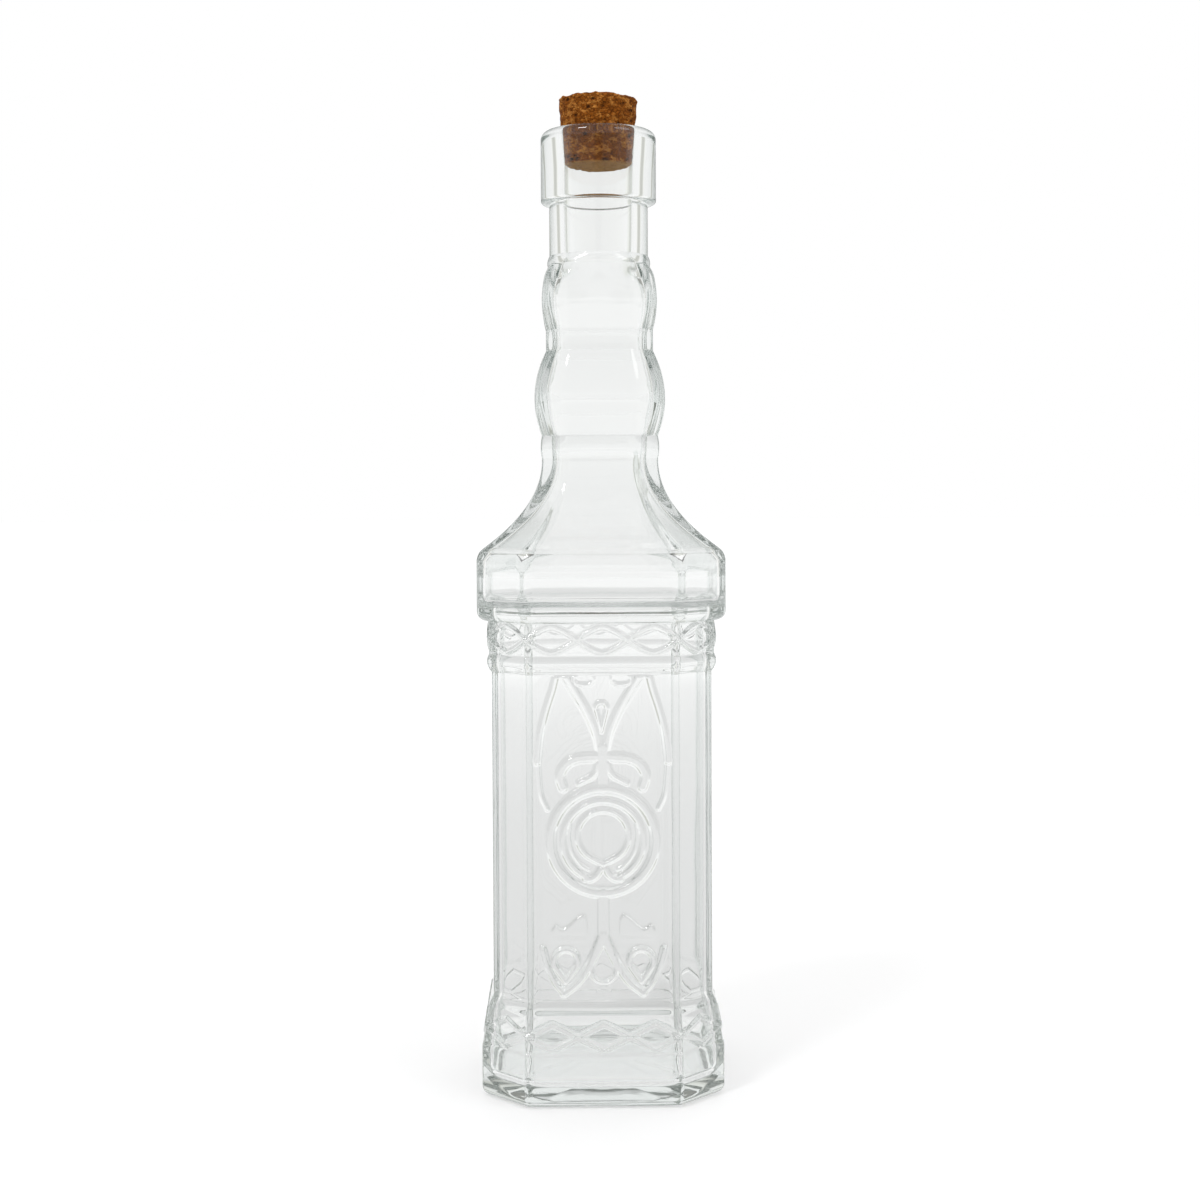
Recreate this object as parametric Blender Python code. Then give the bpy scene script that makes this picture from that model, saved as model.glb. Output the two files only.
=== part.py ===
"""Square clear-glass bottle with a bulbed neck, moulded ornament and a tapered cork stopper.

The origin is the middle of the base, on the surface that the bottle stands on, with +Z up.
The ornamented face looks along -Y. All lengths are in metres.
"""

import math

import bmesh
import bpy
from mathutils import Vector

# Heights of the bottle's stretches, from the table up to the rim
PLINTH_HEIGHT = 0.0172
BASE_BAND_HEIGHT = 0.0108
BASE_LIP_HEIGHT = 0.0050
BODY_HEIGHT = 0.1022
BEAD_COVE_HEIGHT = 0.0014
BEAD_HEIGHT = 0.0044
UPPER_BAND_HEIGHT = 0.0105
SHOULDER_HEIGHT = 0.0186
SHOULDER_TOP_HEIGHT = 0.0038
FLARE_HEIGHT = 0.0292
NECK_BAND_HEIGHT = 0.0074
LOWER_BULB_HEIGHT = 0.0275
WAIST_HEIGHT = 0.0070
UPPER_BULB_HEIGHT = 0.0210
NECK_BEAD_HEIGHT = 0.0035
NECK_HEIGHT = 0.0171
COLLAR_HEIGHT = 0.0234

# The body across its flats, the flat width of a wide face, and how far the other square stretches
# stand out from the body; their faces widen by a share of that step
BODY_WIDTH = 0.0699
BODY_FACE = 0.0476
PLINTH_STEP = 0.00375
BAND_FOOT_STEP = 0.00325
BAND_TOP_STEP = 0.00165
UPPER_BAND_STEP = 0.00085
SHOULDER_STEP = 0.00475
FACE_SPREAD_SHARE = 0.18

# The neck across its faces, square with cut corners below and round above, and the height over which
# it turns round
FLARE_TOP_WIDTH = 0.0376
LOWER_BULB_WIDTH = 0.0421
WAIST_WIDTH = 0.0347
UPPER_BULB_WIDTH = 0.0373
NECK_BEAD_WIDTH = 0.0334
NECK_DIAMETER = 0.0323
NECK_FACE_SHARE = 0.6
NECK_ROUND_HEIGHT = 0.0070

# Roundings and small steps of the outside
EDGE_SETBACK = 0.0012
HEEL_RADIUS = 0.0032
FOOT_RING_WIDTH = 0.0107
PUNT_DEPTH = 0.0025
PUNT_RING_SHARES = (0.3, 0.6, 0.85, 1.0)
PUNT_ROUND_SHARE = 0.3
PLINTH_EDGE_HEIGHT = 0.0020
BEAD_PROUD = 0.0007
SHOULDER_EDGE_RADIUS = 0.0020
SHOULDER_TOP_INSET = 0.0013
FLARE_POWER = 2.1
NECK_BAND_PROUD = 0.0004
COLLAR_FOOT_RADIUS = 0.0010
RIM_RADIUS = 0.0026
MOUTH_RADIUS = 0.0014

# Inside of the glass
FLOOR_THICKNESS = 0.0065
FLOOR_RADIUS = 0.0050
BODY_WALL = 0.0029
BASE_WALL = 0.0034
SHOULDER_WALL = 0.0033
SHOULDER_LEDGE = 0.0058
SHOULDER_ROOF = 0.0035
NECK_BAND_WALL = 0.0065
LOWER_BULB_WALL = 0.0049
WAIST_WALL = 0.0051
UPPER_BULB_WALL = 0.0047
COLLAR_WALL = 0.0065
NECK_BORE = 0.0222
INNER_SETBACK = 0.0030
INNER_ROUND_SHARE = 0.15
INNER_NECK_FACE_SHARE = 0.85
INNER_NECK_SETBACK = 0.0010

# Cork stopper, and how far it is pushed in
CORK_TOP_DIAMETER = 0.0264
CORK_FOOT_DIAMETER = 0.0221
CORK_LENGTH = 0.0233
CORK_DEPTH = 0.0121
CORK_EDGE = 0.0005
CORK_CLEARANCE = 0.0003
CORK_FOOT_CLEARANCE = 0.0006

# Bands of diamonds: three on each wide face and one on each cut corner
DIAMONDS_PER_FACE = 3
DIAMOND_MARGIN = 0.0010
DIAMOND_RIDGE_WIDTH = 0.0016
DIAMOND_RIDGE_PROUD = 0.0008

# Ornament of the front face: a ring round a loop round an eye, a little below the body's middle
ORNAMENT_DROP = 0.0007
RING_RADIUS = 0.0166
RING_WIDTH = 0.0030
RING_PROUD = 0.0011
LOOP_RADIUS = 0.0127
LOOP_WIDTH = 0.0020
LOOP_PROUD = 0.0009
LOOP_GAP_ANGLE = math.radians(48)
LOOP_TURN_SHARE = 0.2
EYE_RADIUS = 0.0076
EYE_LIFT = 0.0014
EYE_TIP = 0.0088
EYE_WIDTH = 0.0018
EYE_PROUD = 0.0010

# Stems above and below the ring, and the pointed arches that they fork into
STEM_WIDTH = 0.0046
STEM_PROUD = 0.0006
STEM_LENGTH = 0.0130
FORK_OFFSET = 0.0008
ARCH_WIDTH = 0.0026
ARCH_PROUD = 0.0008
ARCH_END_MARGIN = 0.0021
ARCH_SIDE_MARGIN = 0.0036
ARCH_PEAK_OFFSET = 0.0124
ARCH_BOW_OFFSET = 0.0040
ARCH_BOW_SHARE = 0.57
UPPER_LEG_LENGTH = 0.0257
LOWER_LEG_LENGTH = 0.0160
LEG_BOW_SHARE = 0.6

# Leaves over the ring and curls under it
LEAF_WIDTH = 0.0030
LEAF_PROUD = 0.0007
LEAF_REACH = 0.0130
LEAF_RISE = 0.0100
CURL_WIDTH = 0.0012
CURL_PROUD = 0.0005
CURL_REACH = 0.0149
CURL_DROP = 0.0285
CURL_POINT_SHARES = ((0.315, 1.0), (0.416, 0.796), (0.67, 0.884), (0.852, 0.954), (1.0, 0.874))

# Drops between the arches: two large ones and a middle one below, and a small one above
DROP_PROUD = 0.0011
DROP_RADIUS = 0.0041
DROP_LENGTH = 0.0078
DROP_GAP = 0.0033
MIDDLE_DROP_RADIUS = 0.0034
MIDDLE_DROP_LENGTH = 0.0079
MIDDLE_DROP_GAP = 0.0029
SMALL_DROP_RADIUS = 0.0023
SMALL_DROP_LENGTH = 0.0070
SMALL_DROP_GAP = 0.0044

# Section of the ridges and drops, and how deep they are sunk into the glass that carries them
RELIEF_SINK = 0.0006
CREST_SHARE = 0.45
MITRE_LEAST_SHARE = 0.5
BOSS_LEVEL_SHARES = ((1.0, 0.3), (0.8, 0.75), (0.45, 1.0))

# Steps that the round shapes are drawn with
WIDE_STEPS = 6
CORNER_STEPS = 3
ARC_STEPS = 3
BULGE_STEPS = 8
CURVE_STEPS = 6
CIRCLE_STEPS = 28
DROP_STEPS = 8
FLAT_ANGLE = math.radians(0.05)
SHARP_ANGLE = math.radians(30)
EIGHTH_TURN = math.pi / 4

# Levels that the heights add up to
BAND_FOOT = PLINTH_HEIGHT
BAND_TOP = BAND_FOOT + BASE_BAND_HEIGHT
BODY_FOOT = BAND_TOP + BASE_LIP_HEIGHT
BODY_TOP = BODY_FOOT + BODY_HEIGHT
BEAD_FOOT = BODY_TOP + BEAD_COVE_HEIGHT
UPPER_BAND_FOOT = BEAD_FOOT + BEAD_HEIGHT
SHOULDER_FOOT = UPPER_BAND_FOOT + UPPER_BAND_HEIGHT
SHOULDER_TOP = SHOULDER_FOOT + SHOULDER_HEIGHT
FLARE_FOOT = SHOULDER_TOP + SHOULDER_TOP_HEIGHT
NECK_BAND_FOOT = FLARE_FOOT + FLARE_HEIGHT
LOWER_BULB_FOOT = NECK_BAND_FOOT + NECK_BAND_HEIGHT
WAIST_FOOT = LOWER_BULB_FOOT + LOWER_BULB_HEIGHT
UPPER_BULB_FOOT = WAIST_FOOT + WAIST_HEIGHT
NECK_BEAD_FOOT = UPPER_BULB_FOOT + UPPER_BULB_HEIGHT
NECK_FOOT = NECK_BEAD_FOOT + NECK_BEAD_HEIGHT
COLLAR_FOOT = NECK_FOOT + NECK_HEIGHT
RIM_TOP = COLLAR_FOOT + COLLAR_HEIGHT
CORK_FOOT = RIM_TOP - CORK_DEPTH
RING_MIDDLE = (BODY_FOOT + BODY_TOP) / 2 - ORNAMENT_DROP


def clear_scene():
    """Removes whatever the scene starts with."""
    for obj in list(bpy.data.objects):
        bpy.data.objects.remove(obj, do_unlink=True)


def principled(name, colour, roughness, transmission=0.0, index=1.5):
    """A plain Principled material."""
    material = bpy.data.materials.new(name)
    material.use_nodes = True
    shader = material.node_tree.nodes["Principled BSDF"]
    shader.inputs["Base Color"].default_value = (*colour, 1.0)
    shader.inputs["Roughness"].default_value = roughness
    shader.inputs["Metallic"].default_value = 0.0
    shader.inputs["Transmission Weight"].default_value = transmission
    shader.inputs["IOR"].default_value = index
    return material


def smooth(share):
    """An S-shaped step from 0 to 1."""
    return share * share * (3 - 2 * share)


def between(start, end, share):
    """The value a share of the way from start to end."""
    return start + (end - start) * share


def shares(steps, first=0):
    """Even shares from first / steps up to 1."""
    return [i / steps for i in range(first, steps + 1)]


def quarter(steps=ARC_STEPS):
    """Sine and cosine of even angles from nothing to a quarter turn."""
    return [(math.sin(share * math.pi / 2), math.cos(share * math.pi / 2)) for share in shares(steps)]


def stepped(step):
    """Half the width and half the face of a square stretch that stands out from the body by a step."""
    return BODY_WIDTH / 2 + step, BODY_FACE / 2 + step * FACE_SPREAD_SHARE


def neck_outline(width):
    """Half the width and half the face of the neck, whose faces keep one proportion."""
    return width / 2, width / 2 * NECK_FACE_SHARE


def offset(shape, distance):
    """The outline moved outwards by a distance, on the wide faces and the cut corners alike."""
    return shape[0] + distance, shape[1] + distance * math.tan(EIGHTH_TURN / 2)


def blended(start, end, share):
    """The outline a share of the way from start to end."""
    return tuple(between(a, b, share) for a, b in zip(start, end))


def corner_points(height, shape):
    """The eight corners of an outline; the first two end the wide face that looks along +X."""
    across, face = shape
    points = []
    for turn in range(4):
        sine, cosine = math.sin(turn * math.pi / 2), math.cos(turn * math.pi / 2)
        for x, y in ((across, -face), (across, face)):
            points.append(Vector((x * cosine - y * sine, x * sine + y * cosine, height)))
    return points


def side_shares(length, steps, setback):
    """Places along one side: its corner, where the corner's rounding ends, then even steps."""
    edge = setback / length
    return [0.0] + [between(edge, 1 - edge, i / (steps - 2)) for i in range(steps - 1)]


def ring(height, shape, roundness=0.0, setback=EDGE_SETBACK):
    """Points round the bottle at one height: a square with cut corners, drawn to a circle by roundness."""
    across, face = shape
    corners = corner_points(height, shape)
    half_angle = math.atan2(face, across)
    inset_share = (1 / math.cos(EIGHTH_TURN / 2) - 1) / math.tan(EIGHTH_TURN / 2)
    points = []
    for side, corner in enumerate(corners):
        wide = side % 2 == 0
        steps = WIDE_STEPS if wide else CORNER_STEPS
        following = corners[(side + 1) % len(corners)]
        inwards = (corners[side - 1] - corner).normalized() + (following - corner).normalized()
        start_angle = (side // 2) * math.pi / 2 + (-half_angle if wide else half_angle)
        sweep = 2 * half_angle if wide else math.pi / 2 - 2 * half_angle
        for step, share in enumerate(side_shares((following - corner).length, steps, setback)):
            flat = corner.lerp(following, share)
            if step == 0:
                flat = corner + inwards.normalized() * setback * inset_share
            angle = start_angle + sweep * step / steps
            round_point = Vector((across * math.cos(angle), across * math.sin(angle), height))
            points.append(flat.lerp(round_point, roundness))
    return points


def underside_round(foot, shape, radius, steps=ARC_STEPS):
    """Levels of a quarter round that starts flat, a radius inside the outline, and ends upright on it."""
    levels = []
    for sine, cosine in quarter(steps):
        levels.append((foot + radius * (1 - cosine), offset(shape, radius * (sine - 1))))
    return levels


def bulge(foot, height, start, end, proud, steps):
    """Levels of a stretch that swells by proud between its two ends."""
    levels = []
    for share in shares(steps):
        swell = proud * 4 * share * (1 - share)
        levels.append((foot + height * share, offset(blended(start, end, share), swell)))
    return levels


def punt_rings(plinth):
    """Rings of the shallow hollow under the base, from its middle out to the foot ring."""
    edge = offset(plinth, -FOOT_RING_WIDTH)
    rings = []
    for share in PUNT_RING_SHARES:
        shape = (edge[0] * share, edge[1] * share)
        rings.append(ring(PUNT_DEPTH * (1 - share * share), shape, between(1.0, PUNT_ROUND_SHARE, share)))
    return rings


def square_rings():
    """Rings of the outside from the foot ring up to the shoulder's side."""
    plinth = stepped(PLINTH_STEP)
    band_foot = stepped(BAND_FOOT_STEP)
    band_top = stepped(BAND_TOP_STEP)
    body = stepped(0)
    upper_band = stepped(UPPER_BAND_STEP)
    levels = underside_round(0, plinth, HEEL_RADIUS)
    for sine, cosine in quarter():
        levels.append((BAND_FOOT - PLINTH_EDGE_HEIGHT * (1 - sine), blended(plinth, band_foot, 1 - cosine)))
    for share in shares(ARC_STEPS):
        levels.append((between(BAND_TOP, BODY_FOOT, share), blended(band_top, body, smooth(share))))
    for share in shares(2):
        levels.append((between(BODY_TOP, BEAD_FOOT, share), blended(body, upper_band, smooth(share))))
    levels += bulge(BEAD_FOOT, BEAD_HEIGHT, upper_band, upper_band, BEAD_PROUD, ARC_STEPS)[1:]
    levels.append((SHOULDER_FOOT, upper_band))
    levels += underside_round(SHOULDER_FOOT, stepped(SHOULDER_STEP), SHOULDER_EDGE_RADIUS)
    return punt_rings(plinth) + [ring(height, shape) for height, shape in levels]


def flare_outline(share, foot, top):
    """The outline of the concave flare, a share of the way up from its wide foot to its narrow top."""
    return blended(top, foot, (1 - share) ** FLARE_POWER)


def flare_rings():
    """Rings of the shoulder's rounded top edge and of the flare above it."""
    shoulder = stepped(SHOULDER_STEP)
    foot = offset(shoulder, -SHOULDER_TOP_INSET)
    top = neck_outline(FLARE_TOP_WIDTH)
    rings = []
    for share in shares(ARC_STEPS):
        rings.append(ring(between(SHOULDER_TOP, FLARE_FOOT, share), blended(shoulder, foot, share ** 2)))
    for share in shares(BULGE_STEPS, 1):
        rings.append(ring(between(FLARE_FOOT, NECK_BAND_FOOT, share), flare_outline(share, foot, top)))
    return rings


def neck_roundness(height):
    """How far the neck has turned round at a height, from 0 to 1."""
    return smooth(min(1, max(0, 1 - (NECK_FOOT - height) / NECK_ROUND_HEIGHT)))


def neck_rings():
    """Rings of the neck band, both bulbs, the round neck and the collar, up to the rim's flat."""
    band = neck_outline(FLARE_TOP_WIDTH)
    waist = neck_outline(WAIST_WIDTH)
    bead = neck_outline(NECK_BEAD_WIDTH)
    neck = neck_outline(NECK_DIAMETER)
    collar = neck_outline(2 * (mouth_radius() + COLLAR_WALL))
    lower_proud = (LOWER_BULB_WIDTH - (FLARE_TOP_WIDTH + WAIST_WIDTH) / 2) / 2
    upper_proud = (UPPER_BULB_WIDTH - (WAIST_WIDTH + NECK_BEAD_WIDTH) / 2) / 2
    levels = bulge(NECK_BAND_FOOT, NECK_BAND_HEIGHT, band, band, NECK_BAND_PROUD, ARC_STEPS)[1:]
    levels += bulge(LOWER_BULB_FOOT, LOWER_BULB_HEIGHT, band, waist, lower_proud, BULGE_STEPS)[1:]
    rings = [ring(height, shape) for height, shape in levels]
    levels = bulge(UPPER_BULB_FOOT, UPPER_BULB_HEIGHT, waist, bead, upper_proud, BULGE_STEPS)
    levels += bulge(NECK_BEAD_FOOT, NECK_BEAD_HEIGHT, bead, neck, NECK_BAND_PROUD, ARC_STEPS)[1:]
    rings += [ring(height, shape, neck_roundness(height)) for height, shape in levels]
    levels = [(COLLAR_FOOT, neck)]
    levels += underside_round(COLLAR_FOOT, collar, COLLAR_FOOT_RADIUS, 2)
    for sine, cosine in quarter():
        levels.append((RIM_TOP - RIM_RADIUS * (1 - sine), offset(collar, RIM_RADIUS * (cosine - 1))))
    return rings + [ring(height, shape, 1.0) for height, shape in levels]


def cork_radius(height):
    """Radius of the cork at a height above its foot."""
    return between(CORK_FOOT_DIAMETER, CORK_TOP_DIAMETER, height / CORK_LENGTH) / 2


def mouth_radius():
    """Radius of the mouth where its rounded edge ends and the cork is held."""
    return cork_radius(CORK_DEPTH - MOUTH_RADIUS) + CORK_CLEARANCE


def bore_outline(width):
    """Half the width and half the face of the bore, whose corners are cut less than the outside's."""
    return width / 2, width / 2 * INNER_NECK_FACE_SHARE


def bore_rings():
    """Rings of the inside from the rim's flat down to the foot of the neck."""
    mouth = bore_outline(2 * mouth_radius())
    seat = bore_outline(CORK_FOOT_DIAMETER + 2 * CORK_FOOT_CLEARANCE)
    bore = bore_outline(NECK_BORE)
    band = bore_outline(FLARE_TOP_WIDTH - 2 * NECK_BAND_WALL)
    levels = []
    for sine, cosine in quarter():
        levels.append((RIM_TOP - MOUTH_RADIUS * (1 - cosine), offset(mouth, MOUTH_RADIUS * (1 - sine))))
    levels += [(CORK_FOOT, seat), (NECK_FOOT, bore)]
    rings = [ring(height, shape, 1.0) for height, shape in levels]
    stretches = (
        (NECK_FOOT, bore, 1.0),
        (UPPER_BULB_FOOT + UPPER_BULB_HEIGHT / 2, bore_outline(UPPER_BULB_WIDTH - 2 * UPPER_BULB_WALL),
         INNER_ROUND_SHARE),
        (WAIST_FOOT + WAIST_HEIGHT / 2, bore_outline(WAIST_WIDTH - 2 * WAIST_WALL), INNER_ROUND_SHARE),
        (LOWER_BULB_FOOT + LOWER_BULB_HEIGHT / 2, bore_outline(LOWER_BULB_WIDTH - 2 * LOWER_BULB_WALL),
         INNER_ROUND_SHARE),
        (NECK_BAND_FOOT, band, INNER_ROUND_SHARE),
    )
    for (top, top_shape, top_round), (foot, foot_shape, foot_round) in zip(stretches, stretches[1:]):
        for share in shares(ARC_STEPS, 1):
            shape = blended(top_shape, foot_shape, smooth(share))
            roundness = between(top_round, foot_round, smooth(share))
            rings.append(ring(between(top, foot, share), shape, roundness, INNER_NECK_SETBACK))
    return rings


def chamber_rings():
    """Rings of the flare's inside, the body's chamber and its floor."""
    band = bore_outline(FLARE_TOP_WIDTH - 2 * NECK_BAND_WALL)
    shoulder = offset(stepped(SHOULDER_STEP), -SHOULDER_WALL)
    body = offset(stepped(0), -BODY_WALL)
    base = offset(stepped(BAND_FOOT_STEP), -BASE_WALL)
    roof = FLARE_FOOT - SHOULDER_ROOF
    ledge = SHOULDER_FOOT + SHOULDER_LEDGE
    radius = SHOULDER_EDGE_RADIUS
    rings = []
    for share in reversed(shares(CURVE_STEPS)[:-1]):
        height = between(roof, NECK_BAND_FOOT, share)
        setback = between(INNER_SETBACK, INNER_NECK_SETBACK, share)
        rings.append(ring(height, flare_outline(share, shoulder, band), INNER_ROUND_SHARE, setback))
    levels = []
    for sine, cosine in quarter():
        levels.append((ledge + radius * (1 - sine), offset(shoulder, radius * (cosine - 1))))
    for sine, cosine in quarter():
        levels.append((ledge - radius * (1 - cosine), offset(body, radius * (1 - sine))))
    for share in shares(ARC_STEPS):
        levels.append((between(BODY_FOOT, BAND_FOOT, share), blended(body, base, smooth(share))))
    for sine, cosine in quarter():
        height = FLOOR_THICKNESS + FLOOR_RADIUS * (1 - sine)
        levels.append((height, offset(base, FLOOR_RADIUS * (cosine - 1))))
    return rings + [ring(height, shape, INNER_ROUND_SHARE, INNER_SETBACK) for height, shape in levels]


def skin(shape, loops, closed=False):
    """Faces between neighbouring loops of vertices; the two ends are capped unless the loops close up."""
    pairs = list(zip(loops, loops[1:]))
    if closed:
        pairs.append((loops[-1], loops[0]))
    for start, end in pairs:
        for i, vertex in enumerate(start):
            j = (i + 1) % len(start)
            shape.faces.new((vertex, start[j], end[j], end[i]))
    if not closed:
        shape.faces.new(loops[0][::-1])
        shape.faces.new(loops[-1])


def solid(name, sections, material=None, closed=False):
    """An object with a closed surface through sections of points; one with a material shows."""
    shape = bmesh.new()
    skin(shape, [[shape.verts.new(point) for point in points] for points in sections], closed)
    bmesh.ops.recalc_face_normals(shape, faces=shape.faces)
    if material:
        bmesh.ops.dissolve_limit(shape, angle_limit=FLAT_ANGLE, verts=shape.verts, edges=shape.edges)
    mesh = bpy.data.meshes.new(name)
    shape.to_mesh(mesh)
    shape.free()
    if material:
        mesh.materials.append(material)
    obj = bpy.data.objects.new(name, mesh)
    bpy.context.scene.collection.objects.link(obj)
    return obj


def ridge_section(point, outward, sideways, width, proud):
    """The four corners of a ridge's section: its sunk foot and its narrower crest."""
    foot = point - outward * RELIEF_SINK
    crest = point + outward * proud
    side = sideways * width / 2
    return foot - side, foot + side, crest + side * CREST_SHARE, crest - side * CREST_SHARE


def swept_ridge(name, path, width, proud, closed=False):
    """A raised ridge along a path of points, each with the direction that is outward there."""
    sections = []
    last = len(path) - 1
    for i, (point, outward) in enumerate(path):
        before = path[i - 1][0] if i > 0 or closed else point * 2 - path[i + 1][0]
        after = path[(i + 1) % len(path)][0] if i < last or closed else point * 2 - path[i - 1][0]
        arriving = (point - before).normalized()
        along = (arriving + (after - point).normalized()).normalized()
        mitre = 1 / max(along.dot(arriving), MITRE_LEAST_SHARE)
        sideways = outward.cross(along).normalized() * mitre
        sections.append(ridge_section(point, outward, sideways, width, proud))
    return solid(name, sections, closed=closed)


def raised_boss(name, edge, middle, outward):
    """A low domed boss on the glass, inside an edge round its middle."""
    levels = [(1.0, -RELIEF_SINK)] + [(share, DROP_PROUD * height) for share, height in BOSS_LEVEL_SHARES]
    sections = [[middle.lerp(point, share) + outward * height for point in edge] for share, height in levels]
    return solid(name, sections)


def diamond_ridges(name, foot, foot_shape, top, top_shape):
    """Two zigzag ridges that cross all round a band, and so draw its diamonds."""
    rise = (top - foot) / 2 - DIAMOND_MARGIN
    levels = {}
    for way in (-1, 0, 1):
        share = (1 + way * rise / ((top - foot) / 2)) / 2
        levels[way] = corner_points(between(foot, top, share), blended(foot_shape, top_shape, share))
    ridges = []
    for first_way in (1, -1):
        path = []
        way = first_way
        for side in range(8):
            path.append((levels[0][side], (side - 1 / 2) * EIGHTH_TURN))
            count = DIAMONDS_PER_FACE if side % 2 == 0 else 1
            for diamond in range(count):
                start, end = levels[way][side], levels[way][(side + 1) % 8]
                path.append((start.lerp(end, (diamond + 1 / 2) / count), side * EIGHTH_TURN))
                way = -way
        outwards = [Vector((math.cos(angle), math.sin(angle), 0)) for _, angle in path]
        ridge_path = [(point, outward) for (point, _), outward in zip(path, outwards)]
        ridges.append(swept_ridge(name, ridge_path, DIAMOND_RIDGE_WIDTH, DIAMOND_RIDGE_PROUD, True))
    return ridges


def curve(start, control, end, steps=CURVE_STEPS):
    """Points along a curve that leaves start towards control and reaches end from it."""
    return [start * (1 - t) ** 2 + control * 2 * t * (1 - t) + end * t ** 2 for t in shares(steps)]


def panel_point(across, up):
    """A place on the front face, from the middle of the ornament's ring."""
    return Vector((across, -BODY_WIDTH / 2, RING_MIDDLE + up))


def circle_points(radius, start, end, steps):
    """Points on a circle on the front face, from one angle to another."""
    angles = [between(start, end, share) for share in shares(steps)]
    return [panel_point(radius * math.cos(angle), radius * math.sin(angle)) for angle in angles]


def drop_points(across, middle, length, radius, steps):
    """The edge of a teardrop with a round end about its middle and its point length away."""
    side = math.acos(radius / abs(length))
    way = math.copysign(1, length)
    points = [panel_point(across, middle + length)]
    for share in shares(steps):
        angle = between(side, 2 * math.pi - side, share)
        up = middle + way * radius * math.cos(angle)
        points.append(panel_point(across + radius * math.sin(angle), up))
    return points


def ring_and_eye(ridge):
    """The ring with the loop and the eye in it; ridge makes one ridge on the front face."""
    full = 2 * math.pi
    bottom = -math.pi / 2
    ridge("ring", circle_points(RING_RADIUS, 0, full, CIRCLE_STEPS)[:-1], RING_WIDTH, RING_PROUD, True)
    eye = drop_points(0, EYE_LIFT, -EYE_TIP - EYE_LIFT, EYE_RADIUS, 2 * DROP_STEPS)
    ridge("eye", eye, EYE_WIDTH, EYE_PROUD, True)
    half_gap = LOOP_GAP_ANGLE / 2
    loop = circle_points(LOOP_RADIUS, bottom + half_gap, bottom + full - half_gap, CIRCLE_STEPS)
    under = panel_point(LOOP_RADIUS * LOOP_TURN_SHARE, -LOOP_RADIUS)
    ending = curve(panel_point(0, -EYE_TIP), under, loop[0], ARC_STEPS)[:-1]
    mirrored = [Vector((-point.x, point.y, point.z)) for point in reversed(ending)]
    ridge("loop", ending + loop + mirrored, LOOP_WIDTH, LOOP_PROUD)


def arches(ridge, up, reach, leg_length):
    """A stem and the two pointed arches that it forks into, above the ring or below it."""
    fork = RING_RADIUS + STEM_LENGTH
    ridge("stem", [panel_point(0, up * RING_RADIUS), panel_point(0, up * fork)], STEM_WIDTH, STEM_PROUD)
    side = BODY_FACE / 2 - ARCH_SIDE_MARGIN
    for way in (-1, 1):
        peak = panel_point(way * ARCH_PEAK_OFFSET, up * reach)
        foot = panel_point(way * side, up * (reach - leg_length))
        leg_bow = panel_point(way * side, up * between(reach - leg_length, reach, LEG_BOW_SHARE))
        arm_bow = panel_point(way * ARCH_BOW_OFFSET, up * between(fork, reach, ARCH_BOW_SHARE))
        end = panel_point(way * FORK_OFFSET, up * (fork - ARCH_WIDTH / 2))
        ridge("arch", curve(foot, leg_bow, peak) + curve(peak, arm_bow, end)[1:], ARCH_WIDTH, ARCH_PROUD)


def ornament():
    """Ridges and drops of the front face: ring, stems, pointed arches, leaves, curls and drops."""
    front = Vector((0, -1, 0))
    pieces = []

    def ridge(name, points, width, proud, closed=False):
        """Adds one ridge on the front face."""
        pieces.append(swept_ridge(name, [(point, front) for point in points], width, proud, closed))

    ring_and_eye(ridge)
    upper_reach = BODY_TOP - RING_MIDDLE - ARCH_END_MARGIN
    lower_reach = RING_MIDDLE - BODY_FOOT - ARCH_END_MARGIN
    arches(ridge, 1, upper_reach, UPPER_LEG_LENGTH)
    arches(ridge, -1, lower_reach, LOWER_LEG_LENGTH)
    for way in (-1, 1):
        root = panel_point(way * STEM_WIDTH / 4, RING_RADIUS + LEAF_RISE)
        bow = panel_point(way * LEAF_REACH, RING_RADIUS + LEAF_RISE)
        ridge("leaf", curve(root, bow, panel_point(way * LEAF_REACH, LEAF_REACH)), LEAF_WIDTH, LEAF_PROUD)
        curl = [panel_point(way * CURL_REACH * x, -CURL_DROP * z) for x, z in CURL_POINT_SHARES]
        ridge("curl", curl, CURL_WIDTH, CURL_PROUD)
    fork = RING_RADIUS + STEM_LENGTH
    drop_middle = DROP_GAP + DROP_LENGTH - lower_reach
    drops = (
        (-ARCH_PEAK_OFFSET, drop_middle, -DROP_LENGTH, DROP_RADIUS),
        (ARCH_PEAK_OFFSET, drop_middle, -DROP_LENGTH, DROP_RADIUS),
        (0, -fork - MIDDLE_DROP_GAP - MIDDLE_DROP_LENGTH, MIDDLE_DROP_LENGTH, MIDDLE_DROP_RADIUS),
        (0, fork + SMALL_DROP_GAP + SMALL_DROP_LENGTH, -SMALL_DROP_LENGTH, SMALL_DROP_RADIUS),
    )
    for across, middle, length, radius in drops:
        edge = drop_points(across, middle, length, radius, DROP_STEPS)
        pieces.append(raised_boss("drop", edge, panel_point(across, middle), front))
    return pieces


def moulded(bottle, reliefs):
    """Joins the raised ornament to the bottle."""
    group = bpy.data.collections.new("relief")
    bpy.context.scene.collection.children.link(group)
    for obj in reliefs:
        bpy.context.scene.collection.objects.unlink(obj)
        group.objects.link(obj)
        obj.hide_render = True
        obj.display_type = "WIRE"
    join = bottle.modifiers.new("relief", "BOOLEAN")
    join.operation = "UNION"
    join.solver = "EXACT"
    join.operand_type = "COLLECTION"
    join.collection = group


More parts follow.
